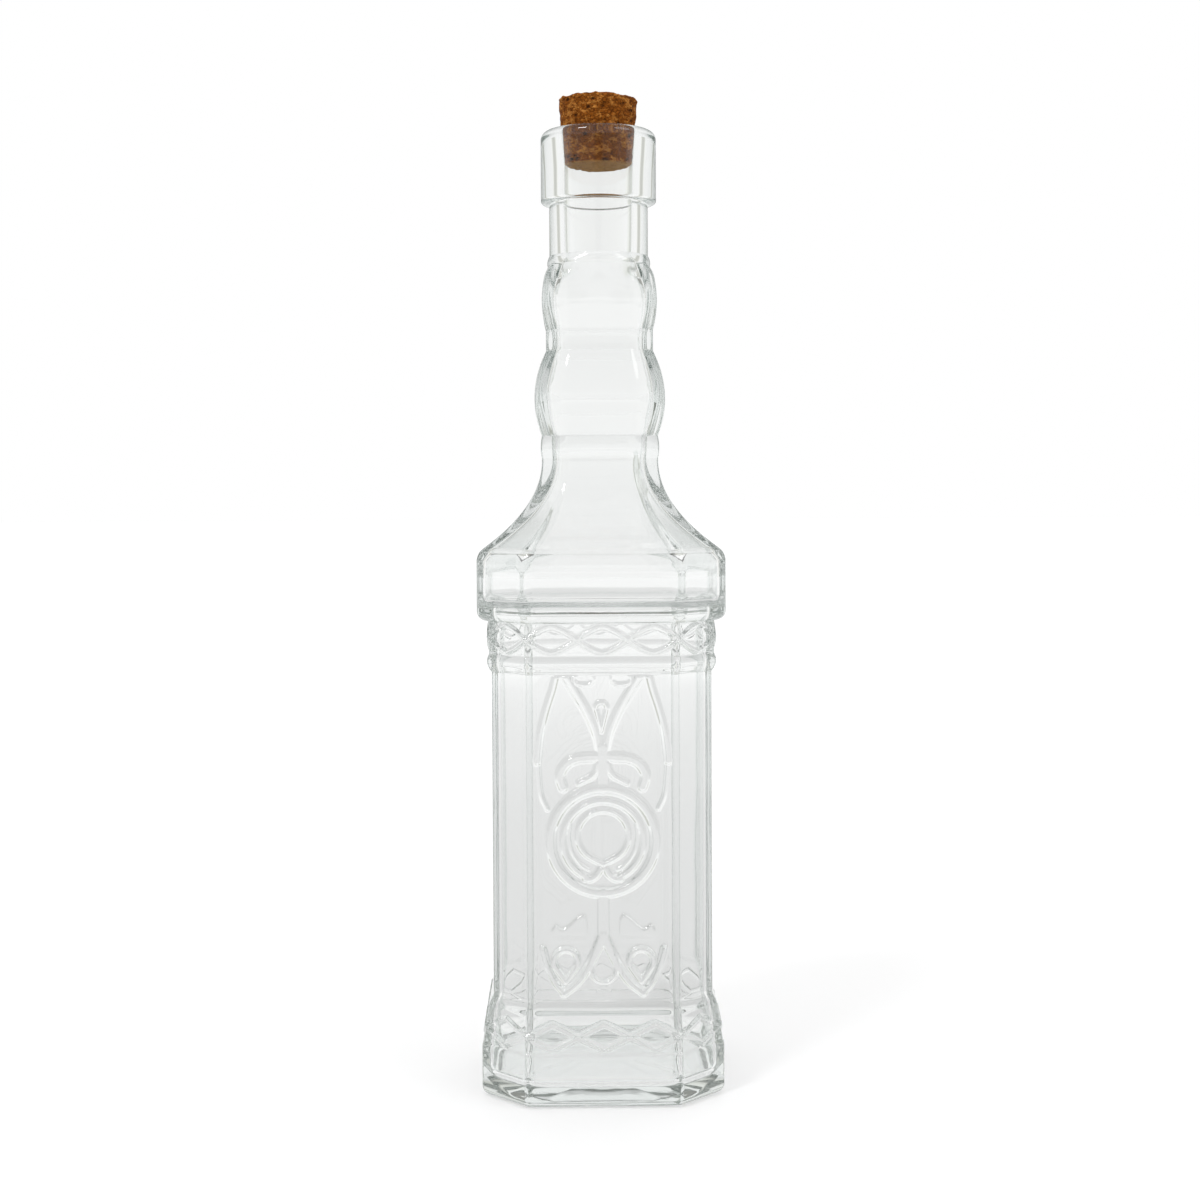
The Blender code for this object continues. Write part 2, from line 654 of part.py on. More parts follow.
def build_bottle(glass):
    """The glass bottle with its bands of diamonds and the ornament of its front."""
    rings = square_rings() + flare_rings() + neck_rings() + bore_rings() + chamber_rings()
    bottle = solid("glass_bottle", rings, glass)
    base_foot, base_top = stepped(BAND_FOOT_STEP), stepped(BAND_TOP_STEP)
    upper = stepped(UPPER_BAND_STEP)
    reliefs = diamond_ridges("base_diamonds", BAND_FOOT, base_foot, BAND_TOP, base_top)
    reliefs += diamond_ridges("upper_diamonds", UPPER_BAND_FOOT, upper, SHOULDER_FOOT, upper)
    moulded(bottle, reliefs + ornament())
    return bottle


def build_cork(cork):
    """The tapered cork; its origin is on its axis at its foot."""
    top_edge = CORK_LENGTH - CORK_EDGE
    rings = []
    for height, inset in ((0, CORK_EDGE), (CORK_EDGE, 0), (top_edge, 0), (CORK_LENGTH, CORK_EDGE)):
        rings.append(ring(height, neck_outline(2 * (cork_radius(height) - inset)), 1.0))
    stopper = solid("cork_stopper", rings, cork)
    stopper.location.z = CORK_FOOT
    return stopper


def main():
    """Builds the bottle and its cork."""
    clear_scene()
    glass = principled("clear_glass", (0.94, 0.97, 0.95), 0.02, transmission=1.0, index=1.52)
    cork = principled("cork", (0.36, 0.17, 0.07), 0.85)
    for obj in (build_bottle(glass), build_cork(cork)):
        obj.data.shade_smooth()
        obj.data.set_sharp_from_angle(angle=SHARP_ANGLE)


main()
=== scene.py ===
"""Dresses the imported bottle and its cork: moulded clear glass, natural cork, a pale floor, soft light.

Lengths are in metres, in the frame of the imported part: the bottle stands on z = 0 and its
ornamented face looks along -Y.
"""

import logging
import math
from dataclasses import astuple, dataclass, replace
from enum import Enum
from typing import Any, Callable, Sequence, Union

import bmesh
import bpy
import numpy as np
from mathutils import Matrix, Vector, noise


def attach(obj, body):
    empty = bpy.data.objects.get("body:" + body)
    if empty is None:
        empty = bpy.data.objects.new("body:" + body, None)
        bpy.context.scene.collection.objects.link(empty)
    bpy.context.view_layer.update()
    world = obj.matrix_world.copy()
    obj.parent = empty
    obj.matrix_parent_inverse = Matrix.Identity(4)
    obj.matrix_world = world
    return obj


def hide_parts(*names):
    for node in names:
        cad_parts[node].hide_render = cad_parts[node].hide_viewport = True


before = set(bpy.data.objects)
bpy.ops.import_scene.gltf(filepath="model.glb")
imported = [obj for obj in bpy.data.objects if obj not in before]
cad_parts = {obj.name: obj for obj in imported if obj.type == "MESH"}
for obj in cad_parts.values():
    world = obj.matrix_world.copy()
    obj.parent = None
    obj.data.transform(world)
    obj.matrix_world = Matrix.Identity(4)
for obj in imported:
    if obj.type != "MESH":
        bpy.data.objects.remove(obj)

log = logging.getLogger("bottle")

Amount = Union[float, np.ndarray]
Colour = tuple[float, float, float]
Face = bmesh.types.BMFace
Piece = bpy.types.Object
Span = tuple[float, float]

BLACK: Colour = (0.0, 0.0, 0.0)
WHITE: Colour = (1.0, 1.0, 1.0)


# Shader maths


def maths(operation: str, reflected: bool = False) -> Callable[["Flow", Any], "Flow"]:
    """Makes one of the socket wrapper's operators.

    Args:
        operation: The Math node's operation.
        reflected: Whether the wrapper is the operator's second value.

    Returns:
        The method, which adds one Math node.
    """
    def add_node(self: "Flow", other: Any) -> "Flow":
        """Adds the Math node for this socket and a value or link."""
        first, second = (other, self) if reflected else (self, other)
        return self.bench.add("ShaderNodeMath", {"operation": operation}, {0: first, 1: second})

    return add_node


@dataclass(frozen=True)
class Flow:
    """One output socket of a node, on which Python's operators add Math nodes."""

    bench: "NodeBench"
    socket: bpy.types.NodeSocket

    __add__, __radd__ = maths("ADD"), maths("ADD", True)
    __sub__, __rsub__ = maths("SUBTRACT"), maths("SUBTRACT", True)
    __mul__, __rmul__ = maths("MULTIPLY"), maths("MULTIPLY", True)
    at_most, at_least = maths("MINIMUM"), maths("MAXIMUM")


class NodeBench:
    """Makes the nodes of one material or world."""

    def __init__(self, owner: Union[bpy.types.Material, bpy.types.World]) -> None:
        """Empties a node tree and gets ready to fill it.

        Args:
            owner: The material or world that has the tree.
        """
        owner.use_nodes = True
        self.tree = owner.node_tree
        self.tree.nodes.clear()

    def add(self, kind: str, settings: dict | None = None, inputs: dict | None = None,
            output: Union[str, int] = 0) -> Flow | None:
        """Adds one node.

        Args:
            kind: The node's type.
            settings: Its settings by name; stops are the places and colours of a ramp.
            inputs: Values or links by the name or number of its sockets.
            output: The output that the caller wants.

        Returns:
            That output.
        """
        node = self.tree.nodes.new(kind)
        for name, value in (settings or {}).items():
            if name == "stops":
                self.fill_ramp(node.color_ramp, value)
            else:
                setattr(node, name, value)
        for name, value in (inputs or {}).items():
            if isinstance(value, Flow):
                self.tree.links.new(value.socket, node.inputs[name])
            else:
                node.inputs[name].default_value = value
        return Flow(self, node.outputs[output]) if node.outputs else None

    def fill_ramp(self, ramp: bpy.types.ColorRamp, stops: Sequence[tuple[float, Colour]]) -> None:
        """Sets the stops of a ramp.

        Args:
            ramp: The ramp.
            stops: Two or more places from 0 to 1, each with its colour.
        """
        while len(ramp.elements) < len(stops):
            ramp.elements.new(1.0)
        for element, (place, colour) in zip(ramp.elements, stops):
            element.position = place
            element.color = (*colour, 1.0)

    def mix(self, factor: Any, first: Any, second: Any) -> Flow:
        """Mixes two colours or links by a factor, which says how much of the second shows."""
        ends = [(*c, 1.0) if isinstance(c, tuple) else c for c in (first, second)]
        return self.add("ShaderNodeMix", {"data_type": "RGBA"}, {0: factor, 6: ends[0], 7: ends[1]}, 2)

    def step(self, value: Flow, low: float, high: float) -> Flow:
        """A smooth step, from 0 where the value is low to 1 where it is high."""
        inputs = {"Value": value, "From Min": low, "From Max": high}
        return self.add("ShaderNodeMapRange", {"interpolation_type": "SMOOTHSTEP"}, inputs)

    def rays(self) -> list[Flow]:
        """Whether a ray comes from the camera, from gloss and from inside the glass, 1 or 0 each."""
        kinds = ("Is Camera Ray", "Is Glossy Ray", "Is Transmission Ray")
        return [self.add("ShaderNodeLightPath", output=kind) for kind in kinds]

    def finish(self, surface: Flow, volume: Flow | None = None) -> None:
        """Joins the surface, and the volume if there is one, to the material's output."""
        inputs = {"Surface": surface, "Volume": volume} if volume else {"Surface": surface}
        self.add("ShaderNodeOutputMaterial", None, inputs)


# Finishes


@dataclass(frozen=True)
class ClearGlass:
    """Colourless pressed glass, faintly green in its depth, with painted shade where it is seen edge on."""

    index: float = 1.52
    clear: Colour = (0.99, 0.995, 0.992)
    # The edge colour and the facing span after it set painted shade: the glass darkens towards the edge
    # colour where it is seen edge on.
    edge: Colour = (0.66, 0.72, 0.70)
    painted_shade_facing: Span = (0.35, 1.0)
    depth_colour: Colour = (0.57, 0.635, 0.61)
    depth_density: float = 7.0
    ripple_scale: float = 70.0
    ripple_strength: float = 0.12
    ripple_height: float = 0.0004

    def material(self) -> bpy.types.Material:
        """Makes the glass material.

        Returns:
            The material.
        """
        made = bpy.data.materials.new("clear_glass_finish")
        bench = NodeBench(made)
        ripple = bench.add("ShaderNodeTexNoise", None, {
            "Vector": bench.add("ShaderNodeTexCoord", output="Object"), "Scale": self.ripple_scale,
            "Detail": 1.0, "Roughness": 0.4})
        normal = bench.add("ShaderNodeBump", None, {
            "Height": ripple, "Strength": self.ripple_strength, "Distance": self.ripple_height})
        facing = bench.add("ShaderNodeLayerWeight", None, {"Blend": 0.5, "Normal": normal}, "Facing")
        # The base colour turns from clear to the edge colour as the surface turns edge on: painted shade at
        # grazing angles.
        surface = bench.add("ShaderNodeBsdfPrincipled", None, {
            "Base Color": bench.mix(bench.step(facing, *self.painted_shade_facing), self.clear, self.edge),
            "Roughness": 0.0, "IOR": self.index, "Transmission Weight": 1.0, "Normal": normal})
        depth = bench.add("ShaderNodeVolumeAbsorption", None, {
            "Color": (*self.depth_colour, 1.0), "Density": self.depth_density})
        bench.finish(surface, depth)
        return made


@dataclass(frozen=True)
class NaturalCork:
    """Brown natural cork with lighter grain, dark pores and a paler cut foot."""

    dark: Colour = (0.065, 0.015, 0.001)
    brown: Colour = (0.255, 0.073, 0.006)
    tan: Colour = (0.560, 0.225, 0.045)
    pore: Colour = (0.040, 0.010, 0.001)
    foot: Colour = (0.600, 0.330, 0.115)
    squeeze: float = 1.35
    cloud_scale: float = 620.0
    patch_scale: float = 170.0
    vein_scale: float = 700.0
    vein_edge: Span = (0.0, 0.14)
    stir_scale: float = 900.0
    stir: float = 0.0011
    pore_scale: float = 390.0
    pore_edge: Span = (0.16, 0.38)
    pore_patches: Span = (0.40, 0.54)
    fleck_edge: Span = (0.55, 0.75)
    fleck_clouds: Span = (0.40, 0.56)
    cut_edge: Span = (0.0002, 0.0011)
    relief: float = 0.0008
    roughness: float = 0.9
    gloss: float = 0.10

    def material(self, foot_height: float) -> bpy.types.Material:
        """Makes the cork material.

        Args:
            foot_height: The height of the cork's foot, whose cut face is paler.

        Returns:
            The material.
        """
        made = bpy.data.materials.new("natural_cork_finish")
        bench = NodeBench(made)
        place = bench.add("ShaderNodeTexCoord", output="Object")
        squeezed = bench.add("ShaderNodeMapping", None, {"Vector": place, "Scale": (1, 1, self.squeeze)})
        clouds = bench.add("ShaderNodeTexNoise", None, {
            "Vector": squeezed, "Scale": self.cloud_scale, "Detail": 4.0, "Roughness": 0.66,
            "Distortion": 0.8})
        patches = bench.add("ShaderNodeTexNoise", None, {
            "Vector": squeezed, "Scale": self.patch_scale, "Detail": 2.0, "Roughness": 0.5})
        body = bench.add("ShaderNodeValToRGB", {"stops": (
            (0.33, self.dark), (0.44, self.brown), (0.54, self.brown), (0.66, self.tan))},
            {"Fac": clouds * 0.75 + patches * 0.25})
        grain = bench.add("ShaderNodeTexVoronoi", {"feature": "DISTANCE_TO_EDGE"}, {
            "Vector": squeezed, "Scale": self.vein_scale, "Randomness": 1.0})
        veins = 1 - bench.step(grain, *self.vein_edge)
        stir = bench.add("ShaderNodeTexNoise", None, {
            "Vector": place, "Scale": self.stir_scale, "Detail": 2.0, "Roughness": 0.6}, "Color")
        stir = bench.add("ShaderNodeVectorMath", {"operation": "SCALE"}, {0: stir, "Scale": self.stir})
        stirred = bench.add("ShaderNodeVectorMath", {"operation": "ADD"}, {0: squeezed, 1: stir})
        cells = bench.add("ShaderNodeTexVoronoi", {"feature": "F1"}, {
            "Vector": stirred, "Scale": self.pore_scale, "Randomness": 1.0})
        pores = (1 - bench.step(cells, *self.pore_edge)) * bench.step(patches, *self.pore_patches)
        flecks = bench.step(cells, *self.fleck_edge) * bench.step(clouds, *self.fleck_clouds)
        upright = bench.add("ShaderNodeSeparateXYZ", None, {"Vector": place}, "Z")
        cut = 1 - bench.step(upright, *(foot_height + edge for edge in self.cut_edge))
        colour = bench.mix(veins * 0.35, body, self.dark)
        for amount, tone in ((flecks * 0.75, self.tan), (pores * 0.9, self.pore), (cut * 0.8, self.foot)):
            colour = bench.mix(amount, colour, tone)
        relief = clouds * 0.9 + patches * 0.3 - pores * 0.9 - veins * 0.35
        normal = bench.add("ShaderNodeBump", None, {
            "Height": relief, "Strength": 1.0, "Distance": self.relief})
        bench.finish(bench.add("ShaderNodeBsdfPrincipled", None, {
            "Base Color": colour, "Roughness": self.roughness, "Specular IOR Level": self.gloss,
            "Normal": normal}))
        return made


@dataclass(frozen=True)
class PaleFloor:
    """A matt pale floor that shows white and keeps the bottle's shadow; seen through the glass it carries
    painted light under the bottle's foot and painted shade beyond it.
    """

    lit: float = 0.45
    glow: float = 0.46
    # Seen only through the glass: painted light under the foot, and painted shade beyond it that lessens
    # with distance down to a lasting far share.
    painted_light_under: float = 0.14
    painted_shade_beyond: float = 0.32
    painted_shade_far: float = 0.10
    under: Span = (0.035, 0.075)
    beyond: Span = (0.14, 2.40)

    def material(self) -> bpy.types.Material:
        """Makes the floor material.

        Returns:
            The material.
        """
        made = bpy.data.materials.new("pale_floor_finish")
        bench = NodeBench(made)
        place = bench.add("ShaderNodeTexCoord", output="Object")
        grain = bench.add("ShaderNodeTexNoise", None, {"Vector": place, "Scale": 40.0, "Detail": 4.0})
        shade = bench.mix(grain, (self.lit,) * 3, (self.lit * 1.01,) * 3)
        matt = bench.add("ShaderNodeBsdfDiffuse", None, {"Color": shade})
        away = bench.add("ShaderNodeVectorMath", {"operation": "LENGTH"}, {0: place}, "Value")
        camera, glossy, through = bench.rays()
        # Rays through the glass get painted light under the foot. Past the foot they get painted shade,
        # which fades over the span but never drops below the far share.
        past_foot = bench.step(away, *self.under)
        painted_light_near = (1 - past_foot) * self.painted_light_under
        beyond = (1 - bench.step(away, *self.beyond)) * self.painted_shade_beyond
        level = self.glow + through * (painted_light_near - past_foot * beyond.at_least(self.painted_shade_far))
        glow = bench.add("ShaderNodeEmission", None, {"Color": bench.mix(level, BLACK, WHITE)})
        dark = bench.add("ShaderNodeEmission", None, {"Strength": 0.0})
        seen = camera.at_least(glossy).at_least(through)
        shown = bench.add("ShaderNodeMixShader", None, {0: seen, 1: dark, 2: glow})
        bench.finish(bench.add("ShaderNodeAddShader", None, {0: matt, 1: shown}))
        return made


# Shapes


def between(start: Amount, end: Amount, share: Amount) -> Amount:
    """The value a share of the way from start to end."""
    return start + (end - start) * share


def smooth(share: Amount) -> Amount:
    """An S-shaped step from 0 to 1."""
    return share * share * (3 - 2 * share)


def shares(steps: int, first: int = 0) -> list[float]:
    """Even shares from first / steps up to 1."""
    return [i / steps for i in range(first, steps + 1)]


def quarter(steps: int) -> list[Span]:
    """Sine and cosine of even angles from nothing to a quarter turn."""
    return [(math.sin(s * math.pi / 2), math.cos(s * math.pi / 2)) for s in shares(steps)]


def nothing_selected() -> None:
    """Leaves edit mode, if need be, and deselects every object."""
    if bpy.context.object and bpy.context.object.mode != "OBJECT":
        bpy.ops.object.mode_set(mode="OBJECT")
    bpy.ops.object.select_all(action="DESELECT")


class Part(Enum):
    """What a selection is made of, by its name in a mesh."""

    VERT = "verts"
    EDGE = "edges"
    FACE = "faces"


def pick(piece: Piece, part: Part, wanted: Callable[[Any], bool]) -> None:
    """Selects what is wanted of a piece, and nothing else.

    Args:
        piece: The piece, in edit mode.
        part: What is selected.
        wanted: Says of a point, edge or face whether it is wanted.
    """
    bpy.ops.mesh.select_mode(type=part.name)
    bpy.ops.mesh.select_all(action="DESELECT")
    shape = bmesh.from_edit_mesh(piece.data)
    for element in getattr(shape, part.value):
        element.select_set(wanted(element))
    shape.select_flush_mode()
    bmesh.update_edit_mesh(piece.data)


def modify(piece: Piece, name: str, kind: str, **settings: Any) -> None:
    """Adds a modifier and applies it.

    Args:
        piece: The piece, out of edit mode.
        name: The modifier's name.
        kind: Its type.
        settings: Its settings by name.
    """
    modifier = piece.modifiers.new(name, kind)
    for setting, value in settings.items():
        setattr(modifier, setting, value)
    bpy.ops.object.modifier_apply(modifier=modifier.name)


class Side(Enum):
    """The two kinds of side that take turns round the bottle, by their steps."""

    WIDE = 12
    CUT = 6

    @staticmethod
    def of(number: int) -> "Side":
        """The kind of the side with a number, counted from the one that looks along +X."""
        return Side.WIDE if number % 2 == 0 else Side.CUT


@dataclass(frozen=True)
class Outline:
    """A square with cut and rounded corners at one height, drawn towards a circle by roundness."""

    height: float
    across: float
    face: float
    roundness: float = 0.0
    setback: float = 0.0008

    def at(self, height: float) -> "Outline":
        """The outline at another height."""
        return replace(self, height=height)

    def grown(self, out: float, up: float = 0.0) -> "Outline":
        """The outline moved out, on wide faces and cut corners alike, and up."""
        return replace(self, height=self.height + up, across=self.across + out,
                       face=self.face + out * math.tan(math.pi / 8))

    def towards(self, other: "Outline", share: float, climb: float | None = None) -> "Outline":
        """An outline a share of the way to another, with its height a share of its own if given."""
        mixed = Outline(*(between(a, b, share) for a, b in zip(astuple(self), astuple(other))))
        return mixed if climb is None else mixed.at(between(self.height, other.height, climb))

    def way_to(self, other: "Outline", steps: int, ease: Callable[[float], float] = float,
               first: int = 1) -> list["Outline"]:
        """Outlines from a first step to another one, even in height, with an ease on the rest."""
        return [self.towards(other, ease(share), share) for share in shares(steps, first)]

    def eased(self, bend: "Outline", after: "Outline", steps: int = 6) -> list["Outline"]:
        """Outlines that leave this one towards a bend and end smoothly at the one after it."""
        return [self.towards(bend, s).towards(bend.towards(after, s), s) for s in shares(steps)]

    def rounding(self, out: float, up: float, steps: int) -> list["Outline"]:
        """A quarter round, from so far out at this height to this outline, so far up."""
        return [self.grown(out * (1 - sine), up * (1 - cosine)) for sine, cosine in quarter(steps)]

    def dome(self, rise: float, places: Sequence[float]) -> list["Outline"]:
        """A dome that stands on this outline, at shares of the way from its middle."""
        return [Outline(self.height + rise * (1 - s * s), self.across * s, self.face * s,
                        between(1.0, self.roundness, s), self.setback * s) for s in places]

    def points(self, round_steps: int = 4) -> np.ndarray:
        """Places of the outline's points, in even steps on each side and round each corner.

        Args:
            round_steps: The steps of a corner's rounding.

        Returns:
            One row of x, y and z a point.
        """
        corners = []
        for turn in range(4):
            sine, cosine = math.sin(turn * math.pi / 2), math.cos(turn * math.pi / 2)
            for x, y in ((self.across, -self.face), (self.across, self.face)):
                corners.append(np.array((x * cosine - y * sine, x * sine + y * cosine)))
        flat = []
        for side in range(8):
            start, end, beyond = (corners[(side + i) % 8] for i in range(3))
            along = (end - start) / np.linalg.norm(end - start)
            turned = (beyond - end) / np.linalg.norm(beyond - end)
            first, last = start + along * self.setback, end - along * self.setback
            flat += [first + (last - first) * s for s in shares(Side.of(side).value)]
            after = end + turned * self.setback
            flat += [last * (1 - s) ** 2 + end * 2 * s * (1 - s) + after * s ** 2
                     for s in shares(round_steps, 1)[:-1]]
        flat = np.array(flat)
        circle = flat / np.linalg.norm(flat, axis=1, keepdims=True) * self.across
        placed = flat * (1 - self.roundness) + circle * self.roundness
        return np.column_stack((placed, np.full(len(placed), self.height)))


def distance_to(course: np.ndarray, places: np.ndarray) -> np.ndarray:
    """Distance of places from a line of straight pieces.

    Args:
        course: The line's points, across and up the face.
        places: Places across and up the face.

    Returns:
        The distances.
    """
    nearest = np.full(len(places), np.inf)
    for start, end in zip(course, course[1:]):
        along = end - start
        share = np.clip((places - start) @ along / max(along @ along, 1e-12), 0, 1)
        away = places - start - share[:, None] * along
        nearest = np.minimum(nearest, np.hypot(away[:, 0], away[:, 1]))
    return nearest


def inside(edge: np.ndarray, places: np.ndarray) -> np.ndarray:
    """Which places lie inside a closed edge.

    Args:
        edge: The edge's points, across and up the face.
        places: Places across and up the face.

    Returns:
        True for each place inside.
    """
    across, up = places.T
    within = np.zeros(len(places), bool)
    for (x0, z0), (x1, z1) in zip(edge, edge[1:]):
        if z0 != z1:
            within ^= ((z0 > up) != (z1 > up)) & (across < (x1 - x0) * (up - z0) / (z1 - z0) + x0)
    return within


def bent(points: Sequence[Span], steps: int = 6) -> np.ndarray:
    """A smooth course through points.

    Args:
        points: Places across and up the face.
        steps: Steps from each to the next.

    Returns:
        The course's points.
    """
    given = np.array(points, float)
    padded = np.vstack((2 * given[0] - given[1], given, 2 * given[-1] - given[-2]))
    course = []
    for before, start, end, after in zip(padded, padded[1:], padded[2:], padded[3:]):
        course += [0.5 * (2 * start + (end - before) * s
                          + (2 * before - 5 * start + 4 * end - after) * s ** 2
                          + (3 * start - before - 3 * end + after) * s ** 3) for s in shares(steps)[:-1]]
    return np.array(course + [given[-1]])


def arc(radius: float, start: float, end: float, steps: int = 60) -> np.ndarray:
    """Points on a circle about the ornament's middle, from one angle in degrees to another."""
    angles = np.radians([between(start, end, share) for share in shares(steps)])
    return np.column_stack((radius * np.cos(angles), radius * np.sin(angles)))


def drop_edge(across: float, middle: float, length: float, radius: float) -> np.ndarray:
    """The edge of a teardrop.

    Args:
        across: Its place across the face.
        middle: The height of its round end's middle.
        length: How far the point is from there, upwards if positive.
        radius: The round end's radius.

    Returns:
        The edge's points, from the tip round to the tip again.
    """
    side = math.acos(radius / abs(length))
    tip = (across, middle + length)
    turns = [between(side, 2 * math.pi - side, share) for share in shares(28)]
    way = math.copysign(radius, length)
    rounded = [(across + radius * math.sin(turn), middle + way * math.cos(turn)) for turn in turns]
    return np.array([tip, *rounded, tip])


def both_sides(course: np.ndarray) -> list[np.ndarray]:
    """A course given in millimetres and its mirror image, in metres."""
    return [course / 1000 * np.array((way, 1.0)) for way in (-1, 1)]


@dataclass(frozen=True)
class Ridge:
    """A raised line of the ornament: its course across and up the face, its width and height."""

    course: np.ndarray
    width: float
    proud: float
    crest: float = 0.30

    def height_at(self, places: np.ndarray) -> np.ndarray:
        """Height of the ridge at places across and up the face."""
        share = distance_to(self.course, places) / (self.width / 2)
        return self.proud * (1 - smooth(np.clip((share - self.crest) / (1 - self.crest), 0, 1)))


@dataclass(frozen=True)
class Lobe:
    """A raised flat of the ornament, which sinks away towards its foot."""

    edge: np.ndarray
    proud: float
    rim: float
    foot: Span

    def height_at(self, places: np.ndarray) -> np.ndarray:
        """Height of the lobe at places on the face.

        Args:
            places: Places across and up the face.

        Returns:
            The heights there.
        """
        depth = np.where(inside(self.edge, places), distance_to(self.edge, places), 0)
        low, high = self.foot
        fade = np.clip((places[:, 1] - low) / (high - low), 0, 1)
        return self.proud * smooth(np.clip(depth / self.rim, 0, 1)) * smooth(fade)


@dataclass(frozen=True)
class PanelOrnament:
    """The moulded ornament of a wide face, measured from the middle of its ring.

    A pair of sizes is a ridge's width and height.
    """

    ring_radius: float = 0.0164
    ring: Span = (0.0040, 0.0015)
    loop_radius: float = 0.0125
    loop_curl: tuple[Span, ...] = (
        (0.0056, -0.0120), (0.0036, -0.0119), (0.0018, -0.0105), (0.0009, -0.0089))
    loop: Span = (0.0027, 0.0013)
    eye_edge: tuple[float, ...] = (0, 0.0016, -0.0090, 0.0080)
    eye: Span = (0.0022, 0.0013)
    stem_ends: Span = (0.0290, -0.0300)
    stem: Span = (0.0046, 0.0012)
    upper_arm: Span = (0.0034, 0.00098)
    upper_leg: Span = (0.0026, 0.00112)
    fading_leg: Span = (0.00182, 0.00070)
    lower_arm: Span = (0.0034, 0.0014)
    lower_leg: Span = (0.0026, 0.0014)
    leaf: Span = (0.0034, 0.0011)
    fillet: Span = (0.00224, 0.0012)
    line: Span = (0.0014, 0.0007)
    drop_edges: tuple[tuple[float, ...], ...] = (
        (-0.0118, -0.0378, -0.0064, 0.0037), (0.0118, -0.0378, -0.0064, 0.0037))
    drop: Span = (0.0025, 0.0012)
    slim_edges: tuple[tuple[float, ...], ...] = (
        (0, -0.0406, 0.0086, 0.0039), (-0.0004, 0.0416, -0.0072, 0.0017))
    slim_drop: Span = (0.001625, 0.0012)
    lobe_proud: float = 0.0007
    lobe_rim: float = 0.0008
    lobe_foot: Span = (-0.0330, -0.0285)
    steep_crest: float = 0.55

    def forms(self) -> list[Union[Ridge, Lobe]]:
        """The raised forms of one face.

        Returns:
            Ring, eye, loop, stems, drops, arches, leaves, crescents, tabs and lobes.
        """
        made = [
            Ridge(arc(self.ring_radius, 0, 360), *self.ring),
            Ridge(drop_edge(*self.eye_edge), *self.eye),
            Ridge(self.loop_course(), *self.loop),
        ]
        for end in self.stem_ends:
            stem = bent(((0, math.copysign(self.ring_radius, end)), (0, end)))
            made.append(Ridge(stem, *self.stem, self.steep_crest))
        for edges, line in ((self.drop_edges, self.drop), (self.slim_edges, self.slim_drop)):
            made += [Ridge(drop_edge(*edge), *line) for edge in edges]
        for points, *line in self.side_courses():
            made += [Ridge(course, *line) for course in both_sides(bent(points))]
        top = ((4.9, -33.0), (4.6, -28.4), (5.0, -24.6), (6.2, -22.9), (8.6, -24.0), (11.0, -26.2),
               (12.9, -27.3), (14.8, -26.0), (16.6, -28.4), (16.8, -33.0))
        curled = bent(top)
        made += [Lobe(edge, self.lobe_proud, self.lobe_rim, self.lobe_foot)
                 for edge in both_sides(np.vstack((curled, curled[:1])))]
        return made

    def loop_course(self) -> np.ndarray:
        """The horseshoe loop, whose two ends curl in under the eye."""
        curl = np.array(self.loop_curl)
        return np.vstack((bent(curl[::-1] * (-1, 1)), arc(self.loop_radius, 245, -65), bent(curl)))

    def side_courses(self) -> list[tuple]:
        """What stands on the right half and, mirrored, on the left.

        Returns:
            Points in millimetres, width, height and, where it is steep, crest of each ridge.
        """
        upper_arm = ((0.8, 28.0), (2.2, 34.0), (5.0, 40.6), (8.4, 46.4), (11.2, 51.0))
        upper_leg = ((14.6, 51.2), (15.6, 47.2), (17.6, 41.0), (19.2, 34.6), (20.0, 28.4), (20.3, 24.6))
        fading_leg = ((20.2, 24.6), (19.9, 20.0), (19.2, 14.2), (17.4, 10.0))
        lower_arm = ((0.4, -29.4), (2.6, -35.0), (5.0, -40.0), (8.2, -44.4), (12.4, -47.8))
        lower_leg = ((12.4, -47.8), (15.2, -44.4), (17.6, -39.0), (19.0, -34.0))
        leaf = ((1.8, 26.2), (7.0, 25.9), (10.3, 24.8), (12.5, 22.6), (13.3, 19.8), (12.4, 16.8))
        fillet = ((1.6, 24.4), (2.8, 20.8), (7.4, 18.0))
        crescent = ((10.3, 5.0), (10.6, 1.0), (9.6, -3.6), (6.8, -7.6), (4.6, -9.0))
        tab = ((3.2, 51.8), (3.1, 50.0), (4.6, 48.9), (8.0, 49.2), (8.8, 50.3), (8.7, 51.8))
        return [
            (upper_arm, *self.upper_arm),
            (upper_leg, *self.upper_leg),
            (fading_leg, *self.fading_leg),
            (lower_arm, *self.lower_arm),
            (lower_leg, *self.lower_leg),
            (leaf, *self.leaf, self.steep_crest),
            (fillet, *self.fillet),
            (crescent, *self.line),
            (tab, *self.line),
        ]

    def height_at(self, places: np.ndarray) -> np.ndarray:
        """Height of the ornament at places, measured from the middle of the ring."""
        return np.maximum.reduce([form.height_at(places) for form in self.forms()])


